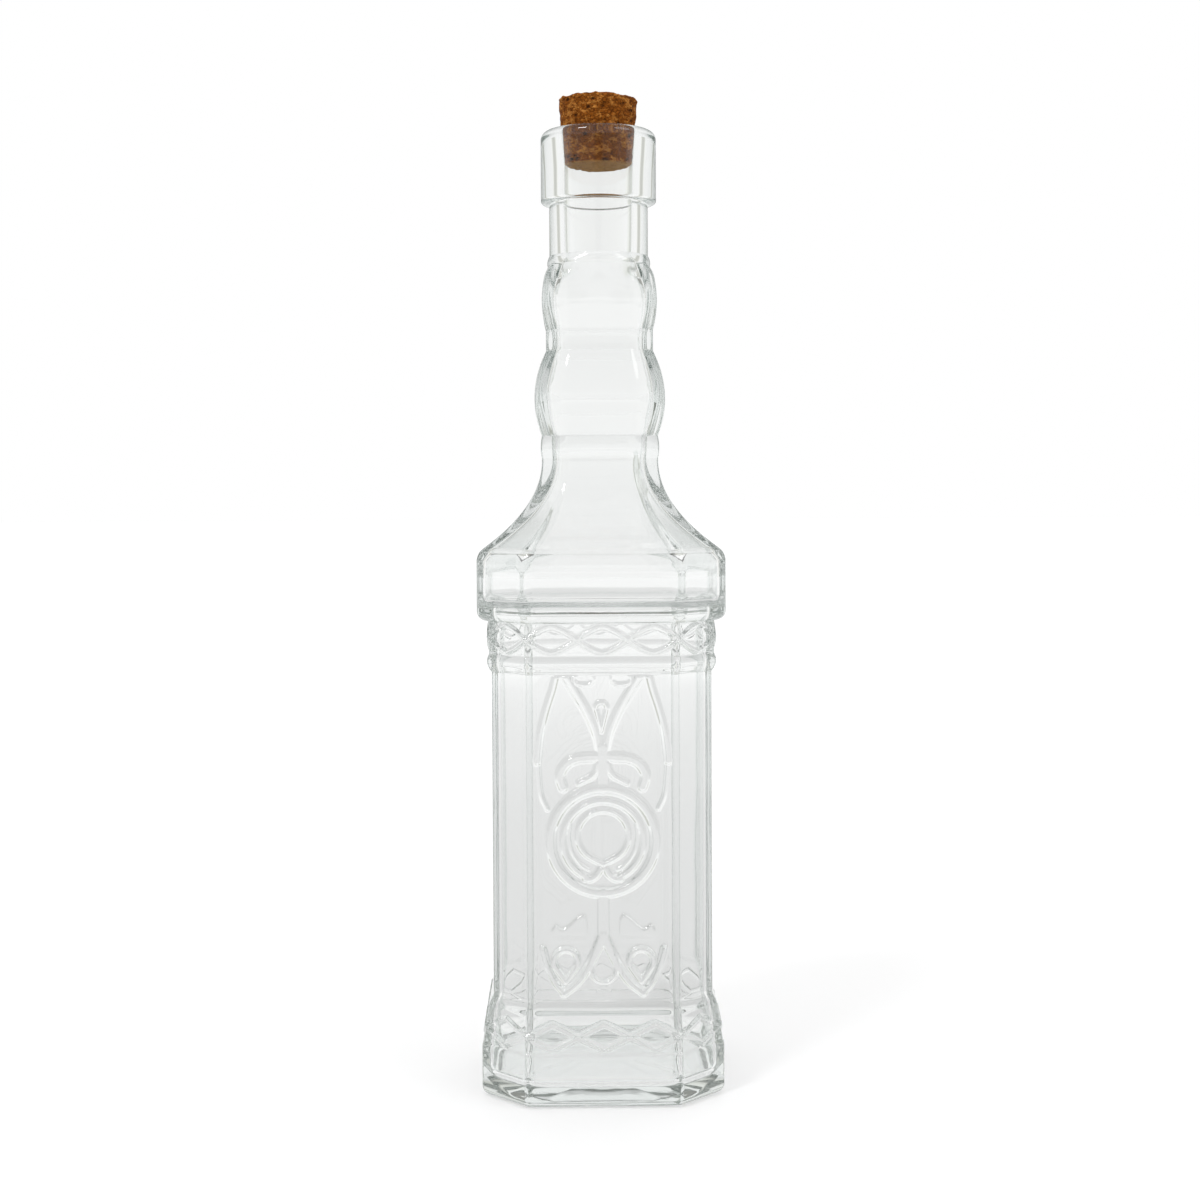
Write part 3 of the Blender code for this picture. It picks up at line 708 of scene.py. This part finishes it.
@dataclass(frozen=True)
class DiamondBand:
    """A band of diamonds round the bottle, three on each wide face and one on each cut corner."""

    foot: Outline
    top: Outline
    node_height: float
    reach: float
    waviness: float = 0.0
    width: float = 0.0015
    proud: float = 0.0006
    per_face: int = 3

    def height_at(self, points: np.ndarray) -> np.ndarray:
        """Height of the ridges at places on the band.

        Args:
            points: Rows of x, y and z on the band.

        Returns:
            The heights there.
        """
        share = (points[:, 2] - self.foot.height) / (self.top.height - self.foot.height)
        across = between(self.foot.across, self.top.across, share)
        face = between(self.foot.face, self.top.face, share)
        best = np.full(len(points), -np.inf)
        phase, length = np.zeros((2, len(points)))
        for side in range(8):
            angle = side * math.pi / 4
            wide = Side.of(side) is Side.WIDE
            middle = across if wide else (across + face) / math.sqrt(2)
            outward = points[:, 0] * math.cos(angle) + points[:, 1] * math.sin(angle) - middle
            along = points[:, 1] * math.cos(angle) - points[:, 0] * math.sin(angle)
            side_length = 2 * face if wide else (across - face) * math.sqrt(2)
            count = self.per_face if wide else 1
            nearer = outward > best
            best = np.where(nearer, outward, best)
            phase = np.where(nearer, (along / side_length + 0.5) * count, phase)
            length = np.where(nearer, side_length / count, length)
        zigzag = 1 - np.abs(2 * (phase - np.floor(phase)) - 1)
        course = between(zigzag, np.sin(zigzag * math.pi / 2), self.waviness)
        away = np.abs(np.abs(points[:, 2] - self.node_height) - self.reach * course)
        away = away / np.hypot(1, 2 * self.reach / length)
        return self.proud * (1 - smooth(np.clip(away / (self.width / 2), 0, 1)))


@dataclass(frozen=True)
class GlassBottle:
    """The glass: a square body with moulded ornament, a flared shoulder and a bulbed neck."""

    plinth: Outline = Outline(0.0152, 0.0387, 0.02448)
    band_foot: Outline = Outline(0.0172, 0.0382, 0.02439)
    band_top: Outline = Outline(0.0280, 0.0366, 0.02410)
    body: Outline = Outline(0.0330, 0.03495, 0.02380)
    body_top: float = 0.1352
    bead: Outline = Outline(0.1366, 0.0358, 0.02395)
    bead_top: float = 0.1410
    bead_swell: float = 0.0006
    diamonds_foot: float = 0.1414
    shoulder: Outline = Outline(0.1515, 0.0397, 0.02466, setback=0.0030)
    shoulder_radius: float = 0.0032
    shoulder_side: Span = (0.1555, 0.1696)
    shoulder_top: float = 0.1701
    shoulder_slope: Span = (-0.0013, 0.0038)
    flare_power: float = 2.1
    neck_stops: tuple[Span, ...] = (
        (0.2031, 0.0188), (0.2105, 0.0188), (0.2380, 0.01735), (0.2450, 0.01735), (0.2660, 0.0167),
        (0.2695, 0.01615))
    neck_swells: tuple[tuple[float, int], ...] = (
        (0.0004, 6), (0.0030, 18), (0.0, 3), (0.0016, 18), (0.0004, 6))
    neck_corner: float = 0.0020
    neck_face_share: float = 0.6
    neck_round_height: float = 0.0070
    neck_top: float = 0.2862
    collar_foot: float = 0.2866
    collar_across: float = 0.01885
    collar_radius: float = 0.0010
    collar_side: Span = (0.2880, 0.3069)
    rim_height: float = 0.3100
    rim_radius: float = 0.0026
    mouth_radius: float = 0.0014
    mouth_stops: tuple[Span, ...] = ((0.3100, 0.01235), (0.2979, 0.01165), (0.2695, 0.0111))
    bore_stops: tuple[Span, ...] = (
        (0.2555, 0.01395), (0.2415, 0.01225), (0.22425, 0.01615), (0.2031, 0.0123))
    bore_face_share: float = 0.85
    bore_setback: float = 0.0010
    inner_setback: float = 0.0018
    inner_roundness: float = 0.06
    inner_shoulder: tuple[float, ...] = (0.1704, 0.1650, 0.1597)
    ledge_bend: float = 0.0002
    ledge_height: float = 0.1573
    ledge_radius: float = 0.0020
    inner_side: Span = (0.1550, 0.0335)
    inner_foot: float = 0.0120
    floor_height: float = 0.0052
    floor_radius: float = 0.0046
    floor_rise: float = 0.0024
    floor_roundness: float = 0.2
    floor_places: tuple[float, ...] = (0.92, 0.8, 0.66, 0.5, 0.34, 0.18, 0.04)
    shoulder_wall: float = 0.0033
    body_wall: float = 0.0029
    lip_wall: float = 0.0031
    base_wall: float = 0.0034
    heel_radius: float = 0.0032
    foot_ring: float = 0.0107
    foot_bend: float = 0.0004
    punt_depth: float = 0.0025
    punt_roundness: float = 0.3
    punt_setback: float = 0.0012
    punt_places: tuple[float, ...] = (0.03, 0.15, 0.3, 0.45, 0.6, 0.74, 0.86, 0.94, 1.0)
    guard: float = 0.0005
    crease: float = 0.0003
    slack: float = 0.000002
    outward: float = 0.5
    frontal: float = 0.999
    ripple: float = 0.00014
    ripple_scale: float = 55.0
    ring_middle: float = 0.0834
    panel_cuts: int = 11
    band_cuts: int = 6
    ornament: PanelOrnament = PanelOrnament()

    def neck(self, height: float, across: float) -> Outline:
        """The outline of the neck, which turns round towards the neck's upper stop."""
        climb = 1 - (self.neck_stops[-1][0] - height) / self.neck_round_height
        return Outline(height, across, across * self.neck_face_share, smooth(min(1, max(0, climb))),
                       self.neck_corner)

    def bore(self, height: float, across: float, roundness: float = 1.0) -> Outline:
        """The outline of the bore at a height."""
        return Outline(height, across, across * self.bore_face_share, roundness, self.bore_setback)

    def within(self, outline: Outline, wall: float) -> Outline:
        """The outline of the inside, a wall's thickness behind one of the outside."""
        return replace(outline.grown(-wall), roundness=self.inner_roundness, setback=self.inner_setback)

    def flare(self, share: float) -> float:
        """How far the flare has spread, a share of the way down it."""
        return share ** self.flare_power

    def bulge(self, foot: Outline, top: Outline, proud: float, steps: int) -> list[Outline]:
        """A stretch that swells between its two ends.

        Args:
            foot: Its lower end.
            top: Its upper end.
            proud: How far it swells.
            steps: How many steps draw it.

        Returns:
            Its outlines from above foot to top, with one close to either end to keep a crease crisp.
        """
        near = self.crease / (top.height - foot.height)
        places = [near] + shares(steps, 1)[:-1] + [1 - near, 1.0]
        return [foot.towards(top, s).grown(proud * 4 * s * (1 - s)) for s in places]

    def base_outlines(self) -> list[Outline]:
        """The punt, the foot ring and the heel.

        Returns:
            Their outlines, from the middle of the underside to the plinth's side.
        """
        heel = self.plinth.at(0)
        edge = heel.grown(-self.foot_ring)
        punt = replace(edge, roundness=self.punt_roundness, setback=self.punt_setback)
        rings = punt.dome(self.punt_depth, self.punt_places) + [edge.grown(self.foot_bend)]
        rings += heel.rounding(-self.heel_radius, self.heel_radius, 8)
        return rings + [heel.at(self.heel_radius + self.guard)]

    def body_outlines(self) -> list[Outline]:
        """The plinth's top, both bands, the body and the shoulder block.

        Returns:
            Their outlines, up to the shoulder's side.
        """
        foot, top, body, bead = self.band_foot, self.band_top, self.body, self.bead
        rings = [self.plinth.grown(0, -self.guard)]
        rings += [self.plinth.towards(foot, 1 - cosine, sine) for sine, cosine in quarter(5)]
        rings += foot.way_to(top, 3) + top.way_to(body, 8, smooth)
        high = body.at(self.body_top)
        rings += body.way_to(high, 21) + high.way_to(bead, 4, smooth)
        rings += self.bulge(bead, bead.at(self.bead_top), self.bead_swell, 8)
        band, ledge = bead.at(self.diamonds_foot), bead.at(self.shoulder.height)
        rings += [band, *band.way_to(ledge, 3), ledge.grown(self.ledge_bend)]
        rings += self.shoulder.rounding(-self.shoulder_radius, self.shoulder_radius, 7)
        return rings + [self.shoulder.at(self.shoulder_side[0])]

    def flare_outlines(self) -> list[Outline]:
        """The shoulder's rounded top edge and the flare.

        Returns:
            Their outlines, up to the neck band.
        """
        edge = self.shoulder.at(self.shoulder_top)
        foot = edge.grown(*self.shoulder_slope)
        rings = [edge.at(self.shoulder_side[1]), *edge.way_to(foot, 5, lambda share: share ** 2, 0)]
        rings += reversed(self.neck(*self.neck_stops[0]).way_to(foot, 18, self.flare, 0)[:-1])
        rings[5:8] = rings[5].eased(rings[6], rings[7])
        return rings

    def neck_outlines(self) -> list[Outline]:
        """The neck band, both bulbs, the round neck and the collar.

        Returns:
            Their outlines, up to the rim's flat.
        """
        rings = []
        stops = [self.neck(*stop) for stop in self.neck_stops]
        for foot, top, swell in zip(stops, stops[1:], self.neck_swells):
            rings += [replace(o, roundness=self.neck(o.height, o.across).roundness)
                      for o in self.bulge(foot, top, *swell)]
        neck = self.neck(self.collar_foot, self.neck_stops[-1][1])
        collar = self.neck(self.collar_foot, self.collar_across)
        rings += [neck.at(self.neck_top), neck]
        rings += collar.rounding(-self.collar_radius, self.collar_radius, 5)
        rings += [collar.at(height) for height in self.collar_side]
        return rings + collar.at(self.rim_height).rounding(-self.rim_radius, -self.rim_radius, 8)[::-1]

    def bore_outlines(self) -> list[Outline]:
        """The inside of the mouth and the neck.

        Returns:
            Its outlines, from the rim down to the flare.
        """
        mouth, seat, neck = (self.bore(*stop) for stop in self.mouth_stops)
        rings = mouth.rounding(self.mouth_radius, -self.mouth_radius, 6) + seat.way_to(neck, 6, first=0)
        stops = [neck] + [self.bore(*stop, self.inner_roundness) for stop in self.bore_stops]
        for top, foot in zip(stops, stops[1:]):
            rings += top.way_to(foot, 10, smooth)
        return rings

    def chamber_outlines(self) -> list[Outline]:
        """The inside of the flare and the body.

        Returns:
            Its outlines, from the flare's top down to the middle of the floor.
        """
        shoulder, body, lip, base = (self.within(*behind) for behind in (
            (self.shoulder, self.shoulder_wall), (self.body, self.body_wall),
            (self.band_top, self.lip_wall), (self.band_foot, self.base_wall)))
        top, *sides = (shoulder.at(height) for height in self.inner_shoulder)
        rings = self.bore(*self.bore_stops[-1], self.inner_roundness).way_to(top, 16, self.flare) + sides
        ledge, radius = self.ledge_height, self.ledge_radius
        rings += shoulder.at(ledge).rounding(-radius, radius, 5)[::-1]
        rings += body.at(ledge).rounding(radius, -radius, 5)
        high, low = (body.at(height) for height in self.inner_side)
        rings += high.way_to(low, 26, first=0) + body.way_to(lip, 6, smooth, 0) + lip.way_to(base, 3)
        rings.append(base.at(self.inner_foot))
        rings += base.at(self.floor_height).rounding(-self.floor_radius, self.floor_radius, 8)[::-1]
        flat = replace(rings[-1], roundness=self.floor_roundness)
        return rings + flat.dome(self.floor_rise, self.floor_places)

    def rippled(self, points: np.ndarray) -> np.ndarray:
        """The slight unevenness of the inside, which no mould touches.

        Args:
            points: Places of one ring of the inside.

        Returns:
            The places, moved a little in or out.
        """
        for row in points:
            wave = noise.noise(Vector(row) * self.ripple_scale)
            row[:2] *= 1 + self.ripple * wave / max(math.hypot(row[0], row[1]), 1e-4)
        return points

    def loft(self, outer: list[Outline], inner: list[Outline]) -> Piece:
        """Extrudes one ring from level to level, up the outside and down the inside.

        Args:
            outer: Outlines of the outside, from the middle of the base up to the rim.
            inner: Outlines of the inside, from the rim down to the middle of the floor.

        Returns:
            The closed shell.
        """
        rings = [o.points() for o in outer] + [self.rippled(o.points()) for o in inner]
        nothing_selected()
        bpy.ops.mesh.primitive_circle_add(vertices=len(rings[0]), fill_type="NOTHING")
        shell = bpy.context.object
        bpy.ops.object.mode_set(mode="EDIT")
        bpy.ops.mesh.select_mode(type="VERT")
        bpy.ops.mesh.select_all(action="SELECT")
        shape = bmesh.from_edit_mesh(shell.data)
        station = shape.verts.layers.int.new("station")
        for index, vertex in enumerate(shape.verts):
            vertex[station] = index
        for ring in rings:
            if ring is not rings[0]:
                bpy.ops.mesh.extrude_region_move()
            shape = bmesh.from_edit_mesh(shell.data)
            station = shape.verts.layers.int["station"]
            for vertex in shape.verts:
                if vertex.select:
                    vertex.co = ring[vertex[station]]
        for upper in (False, True):
            pick(shell, Part.VERT, lambda vertex: vertex.is_boundary
                 and (vertex.co.z > self.floor_height) == upper)
            bpy.ops.mesh.edge_face_add()
            bpy.ops.mesh.poke()
        bpy.ops.mesh.select_all(action="SELECT")
        bpy.ops.mesh.normals_make_consistent(inside=False)
        return shell

    def divide(self, shell: Piece, group: str, low: float, high: float, cuts: int,
               wanted: Callable[[Face], bool] = lambda face: True) -> None:
        """Divides a stretch of the outside finely and keeps its points as a vertex group.

        Args:
            shell: The shell, in edit mode.
            group: The vertex group's name.
            low: Where the stretch starts.
            high: Where it ends.
            cuts: How many cuts each edge gets.
            wanted: Which of its faces are divided.
        """
        def on_stretch(face: Face) -> bool:
            """Whether an undivided face of the outside lies on the stretch and is wanted."""
            ends = [vertex.co.z for vertex in face.verts]
            return (len(ends) == 4 and min(ends) > low - self.slack and max(ends) < high + self.slack
                    and face.normal.xy.dot(face.calc_center_median().xy.normalized()) > self.outward
                    and wanted(face))

        pick(shell, Part.FACE, on_stretch)
        bpy.ops.mesh.subdivide(number_cuts=cuts)
        shell.vertex_groups.active = shell.vertex_groups.new(name=group)
        bpy.ops.object.vertex_group_assign()

    def ornamented(self, face: Face) -> bool:
        """Whether a face belongs to the front and carries ornament.

        Args:
            face: A face of the plain body.

        Returns:
            True if the ornament rises or falls within it.
        """
        if face.normal.y > -self.frontal:
            return False
        corners = np.array([vertex.co for vertex in face.verts])
        low, high = corners.min(axis=0), corners.max(axis=0)
        across, up = np.meshgrid(*(np.linspace(low[axis], high[axis], 6) for axis in (0, 2)))
        places = np.column_stack((across.ravel(), up.ravel() - self.ring_middle))
        return bool(np.ptp(self.ornament.height_at(places)) > 0)

    def bands(self) -> dict[str, DiamondBand]:
        """The two bands of diamonds, by the names of their vertex groups."""
        upper = self.bead.at(self.diamonds_foot), self.bead.at(self.shoulder.height)
        return {
            "base_band": DiamondBand(self.band_foot, self.band_top, node_height=0.0224, reach=0.0040),
            "upper_band": DiamondBand(*upper, node_height=0.1464, reach=0.0042, waviness=0.6,
                                      width=0.0016, proud=0.0007)}

    def raise_ornament(self, shell: Piece) -> None:
        """Raises the ornament of the front and of both bands.

        Args:
            shell: The shell, out of edit mode.
        """
        places = np.array([vertex.co for vertex in shell.data.vertices])
        heights = np.zeros(len(places))
        bands = self.bands()
        for group in shell.vertex_groups:
            members = [v.index for v in shell.data.vertices if any(g.group == group.index for g in v.groups)]
            points = places[members]
            if group.name in bands:
                heights[members] = bands[group.name].height_at(points)
            else:
                heights[members] = self.ornament.height_at(points[:, [0, 2]] - (0, self.ring_middle))
        shell.vertex_groups.clear()
        raised = shell.vertex_groups.new(name="raised")
        for index in np.flatnonzero(heights > 0):
            raised.add([int(index)], float(heights[index] / heights.max()), "REPLACE")
        modify(shell, raised.name, "DISPLACE", vertex_group=raised.name, strength=heights.max(),
               mid_level=0.0)
        shell.vertex_groups.clear()

    def build(self) -> Piece:
        """Models the glass.

        Returns:
            The glass bottle as one closed body.
        """
        outer = (self.base_outlines() + self.body_outlines() + self.flare_outlines()
                 + self.neck_outlines())
        shell = self.loft(outer, self.bore_outlines() + self.chamber_outlines())
        shell.name = "glass_bottle_fine"
        self.divide(shell, "panel", self.body.height, self.body_top, self.panel_cuts, self.ornamented)
        for name, band in self.bands().items():
            self.divide(shell, name, band.foot.height, band.top.height, self.band_cuts)
        bpy.ops.object.mode_set(mode="OBJECT")
        self.raise_ornament(shell)
        bpy.ops.object.shade_smooth()
        modify(shell, "even_flats", "WEIGHTED_NORMAL", mode="FACE_AREA")
        return shell

    def dress(self, shell: Piece) -> None:
        """Gives the glass its finish and its place in the frame.

        Args:
            shell: The glass bottle.
        """
        shell.data.materials.clear()
        shell.data.materials.append(ClearGlass().material())
        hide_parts("glass_bottle")
        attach(shell, "bottle")


@dataclass(frozen=True)
class CorkStopper:
    """The tapered natural cork."""

    top_radius: float = 0.0132
    foot_radius: float = 0.01105
    length: float = 0.02325
    foot_height: float = 0.2979
    edge: float = 0.0007
    around: int = 160
    rows: int = 48
    end_rings: int = 14
    end_step: float = 0.0007
    chip_depth: float = 0.0011
    chip_reach: float = 0.0024
    grain_depth: float = 0.0005
    pore_depth: float = 0.0003

    def build(self) -> Piece:
        """Models the cork.

        Returns:
            The cork, with its pores sunk into it.
        """
        nothing_selected()
        middle = self.foot_height + self.length / 2
        bpy.ops.mesh.primitive_cylinder_add(
            vertices=self.around, radius=self.foot_radius, depth=self.length, location=(0, 0, middle))
        cork = bpy.context.object
        cork.name = "cork_stopper_fine"
        bpy.ops.object.transform_apply(location=True, rotation=True, scale=True)
        bpy.ops.object.mode_set(mode="EDIT")
        pick(cork, Part.VERT, lambda vertex: vertex.co.z > middle)
        wider = self.top_radius / self.foot_radius
        bpy.ops.transform.resize(value=(wider, wider, 1), center_override=(0, 0, self.foot_height))
        pick(cork, Part.EDGE, lambda edge: self.rise(edge) < self.edge)
        bpy.ops.mesh.bevel(offset=self.edge, segments=3, profile=0.5, affect="EDGES")
        pick(cork, Part.EDGE, lambda edge: self.rise(edge) > self.length / 2)
        bpy.ops.mesh.subdivide(number_cuts=self.rows)
        for up in (-1, 1):
            pick(cork, Part.FACE, lambda face: len(face.verts) > 10 and face.normal.z * up > 0.9)
            for _ in range(self.end_rings):
                bpy.ops.mesh.inset(thickness=self.end_step)
            bpy.ops.mesh.poke()
        bpy.ops.object.mode_set(mode="OBJECT")
        self.sink_pores(cork)
        bpy.ops.object.shade_smooth()
        return cork

    @staticmethod
    def rise(edge: bmesh.types.BMEdge) -> float:
        """How far an edge rises from one end to the other."""
        return abs(edge.verts[0].co.z - edge.verts[1].co.z)

    def sink_pores(self, cork: Piece) -> None:
        """Sinks pores, a rough grain and chips of the top rim into the surface, never out of it.

        Args:
            cork: The cork, out of edit mode.
        """
        top = self.foot_height + self.length
        rim = cork.vertex_groups.new(name="rim")
        for vertex in cork.data.vertices:
            inwards = self.top_radius - math.hypot(vertex.co.x, vertex.co.y)
            share = 1 - max(inwards, top - vertex.co.z) / self.chip_reach
            if share > 0:
                rim.add([vertex.index], smooth(share), "REPLACE")
        for name, kind, looks, depth, way, group in (
                ("cork_chips", "CLOUDS", {"noise_scale": 0.0050, "noise_depth": 3, "contrast": 2.2},
                 self.chip_depth, "Z", rim.name),
                ("cork_grain", "CLOUDS", {"noise_scale": 0.0020, "noise_depth": 3},
                 self.grain_depth, "NORMAL", ""),
                ("cork_pores", "VORONOI", {"noise_scale": 0.0030, "noise_intensity": 1.6},
                 self.pore_depth, "NORMAL", "")):
            texture = bpy.data.textures.new(name, kind)
            for setting, value in looks.items():
                setattr(texture, setting, value)
            modify(cork, name, "DISPLACE", texture=texture, texture_coords="LOCAL", direction=way,
                   vertex_group=group, strength=depth, mid_level=1.0)
        cork.vertex_groups.clear()

    def dress(self, cork: Piece) -> None:
        """Gives the cork its finish and its place in the frame.

        Args:
            cork: The cork.
        """
        cork.data.materials.clear()
        cork.data.materials.append(NaturalCork().material(self.foot_height))
        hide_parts("cork_stopper")
        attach(cork, "cork")


@dataclass(frozen=True)
class Studio:
    """The floor, the white surroundings, the lamps and the camera."""

    floor_reach: float = 12.0
    floor_drop: float = 0.0003
    soft_level: float = 1.00
    screens: int = 5
    gap_level: float = 0.45
    gap_edge: Span = (-1.00, -0.30)
    gap_tint: Colour = (0.97, 0.98, 0.86)
    front_level: float = 0.32
    front_edge: Span = (0.10, 0.80)
    ceiling_level: float = 0.30
    ceiling_edge: Span = (0.50, 0.90)
    gloss_level: float = 0.40
    gathered: float = 0.30
    distance: float = 0.610
    eye_height: float = 0.1922
    lens: float = 55.5
    tilt: float = 1.734
    shift: float = -0.043
    roll: float = -0.26
    swing: float = -0.9
    lamps: tuple[tuple[float, float, float, float], ...] = (
        (-40.0, 46.0, 0.90, 14.0), (55.0, 38.0, 0.50, 30.0), (170.0, 58.0, 0.30, 40.0))
    bounces: int = 32

    def lay_floor(self) -> None:
        """Lays the floor just under the bottle."""
        nothing_selected()
        bpy.ops.mesh.primitive_grid_add(
            x_subdivisions=8, y_subdivisions=8, size=2 * self.floor_reach,
            location=(0, 0, -self.floor_drop))
        floor = bpy.context.object
        floor.name = "pale_floor"
        floor.data.materials.append(PaleFloor().material())

    def surround(self) -> None:
        """Fills the world with white to sight, gloss and glass, and with soft light otherwise."""
        world = bpy.data.worlds.new("white_surroundings")
        bpy.context.scene.world = world
        bench = NodeBench(world)
        way = bench.add("ShaderNodeTexCoord", output="Generated")
        east, north, up = (bench.add("ShaderNodeSeparateXYZ", None, {"Vector": way}, axis)
                           for axis in "XYZ")
        round_angle = bench.add("ShaderNodeMath", {"operation": "ARCTAN2"}, {0: east, 1: north})
        wave = bench.add("ShaderNodeMath", {"operation": "COSINE"}, {0: round_angle * self.screens})
        screens = self.gap_level + (1 - self.gap_level) * bench.step(wave, *self.gap_edge)
        ceiling = 1 - bench.step(up, *self.ceiling_edge) * (1 - self.ceiling_level)
        front = bench.step(north * -1.0, *self.front_edge)
        screens = screens * (1 - front * (1 - self.front_level))
        camera, glossy, through = bench.rays()
        scattered = bench.add("ShaderNodeLightPath", output="Diffuse Depth").at_most(1.0)
        soft = (1 - camera.at_least(glossy).at_least(through)).at_least(scattered)
        strength = camera + screens * ceiling * (through + glossy * self.gloss_level)
        strength = strength.at_most(1.0) * (1 - soft)
        strength = strength + soft * (1 + through * self.gathered) * self.soft_level
        tint = bench.mix(screens, self.gap_tint, WHITE)
        tint = bench.mix(camera.at_least(soft), tint, WHITE)
        sky = bench.add("ShaderNodeBackground", None, {"Color": tint, "Strength": strength})
        bench.add("ShaderNodeOutputWorld", None, {"Surface": sky})

    def hang_lamps(self) -> None:
        """Hangs the soft lamps, each at its angle round and above the bottle."""
        for number, (round_angle, height_angle, strength, width) in enumerate(self.lamps):
            nothing_selected()
            around, above = math.radians(round_angle), math.radians(height_angle)
            place = Vector((math.sin(around) * math.cos(above), -math.cos(around) * math.cos(above),
                            math.sin(above)))
            turn = place.to_track_quat("Z", "Y").to_euler()
            bpy.ops.object.light_add(type="SUN", location=place, rotation=turn)
            lamp = bpy.context.object
            lamp.name = f"soft_lamp_{number}"
            lamp.data.energy = strength
            lamp.data.angle = math.radians(width)
            lamp.visible_transmission = False

    def set_camera(self) -> None:
        """Places the camera at the photographed angle."""
        nothing_selected()
        swing = Matrix.Rotation(math.radians(self.swing), 3, "Z")
        turn = (swing @ Matrix.Rotation(math.radians(90 - self.tilt), 3, "X")
                @ Matrix.Rotation(math.radians(self.roll), 3, "Z")).to_euler()
        place = swing @ Vector((0, -self.distance, self.eye_height))
        bpy.ops.object.camera_add(location=place, rotation=turn)
        camera = bpy.context.object
        camera.name = "camera"
        camera.data.lens = self.lens
        camera.data.sensor_width = 36.0
        camera.data.shift_y = self.shift
        camera.data.clip_start = 0.01
        bpy.context.scene.camera = camera

    def build(self) -> None:
        """Makes the whole studio."""
        for make in (self.lay_floor, self.surround, self.hang_lamps, self.set_camera):
            make()
        scene = bpy.context.scene
        scene.view_settings.view_transform = "Standard"
        for kind in ("max_bounces", "glossy_bounces", "transmission_bounces"):
            setattr(scene.cycles, kind, self.bounces)


def main() -> None:
    """Builds the glass, the cork and the studio in order and reports each piece."""
    logging.basicConfig(level=logging.INFO, format="%(message)s")
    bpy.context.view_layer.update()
    for maker in (GlassBottle(), CorkStopper()):
        piece = maker.build()
        maker.dress(piece)
        piece.data.calc_loop_triangles()
        log.info("%s: %d triangles", piece.name, len(piece.data.loop_triangles))
    Studio().build()
    log.info("studio: floor, surroundings, lamps and camera")


if __name__ == "__main__":
    main()
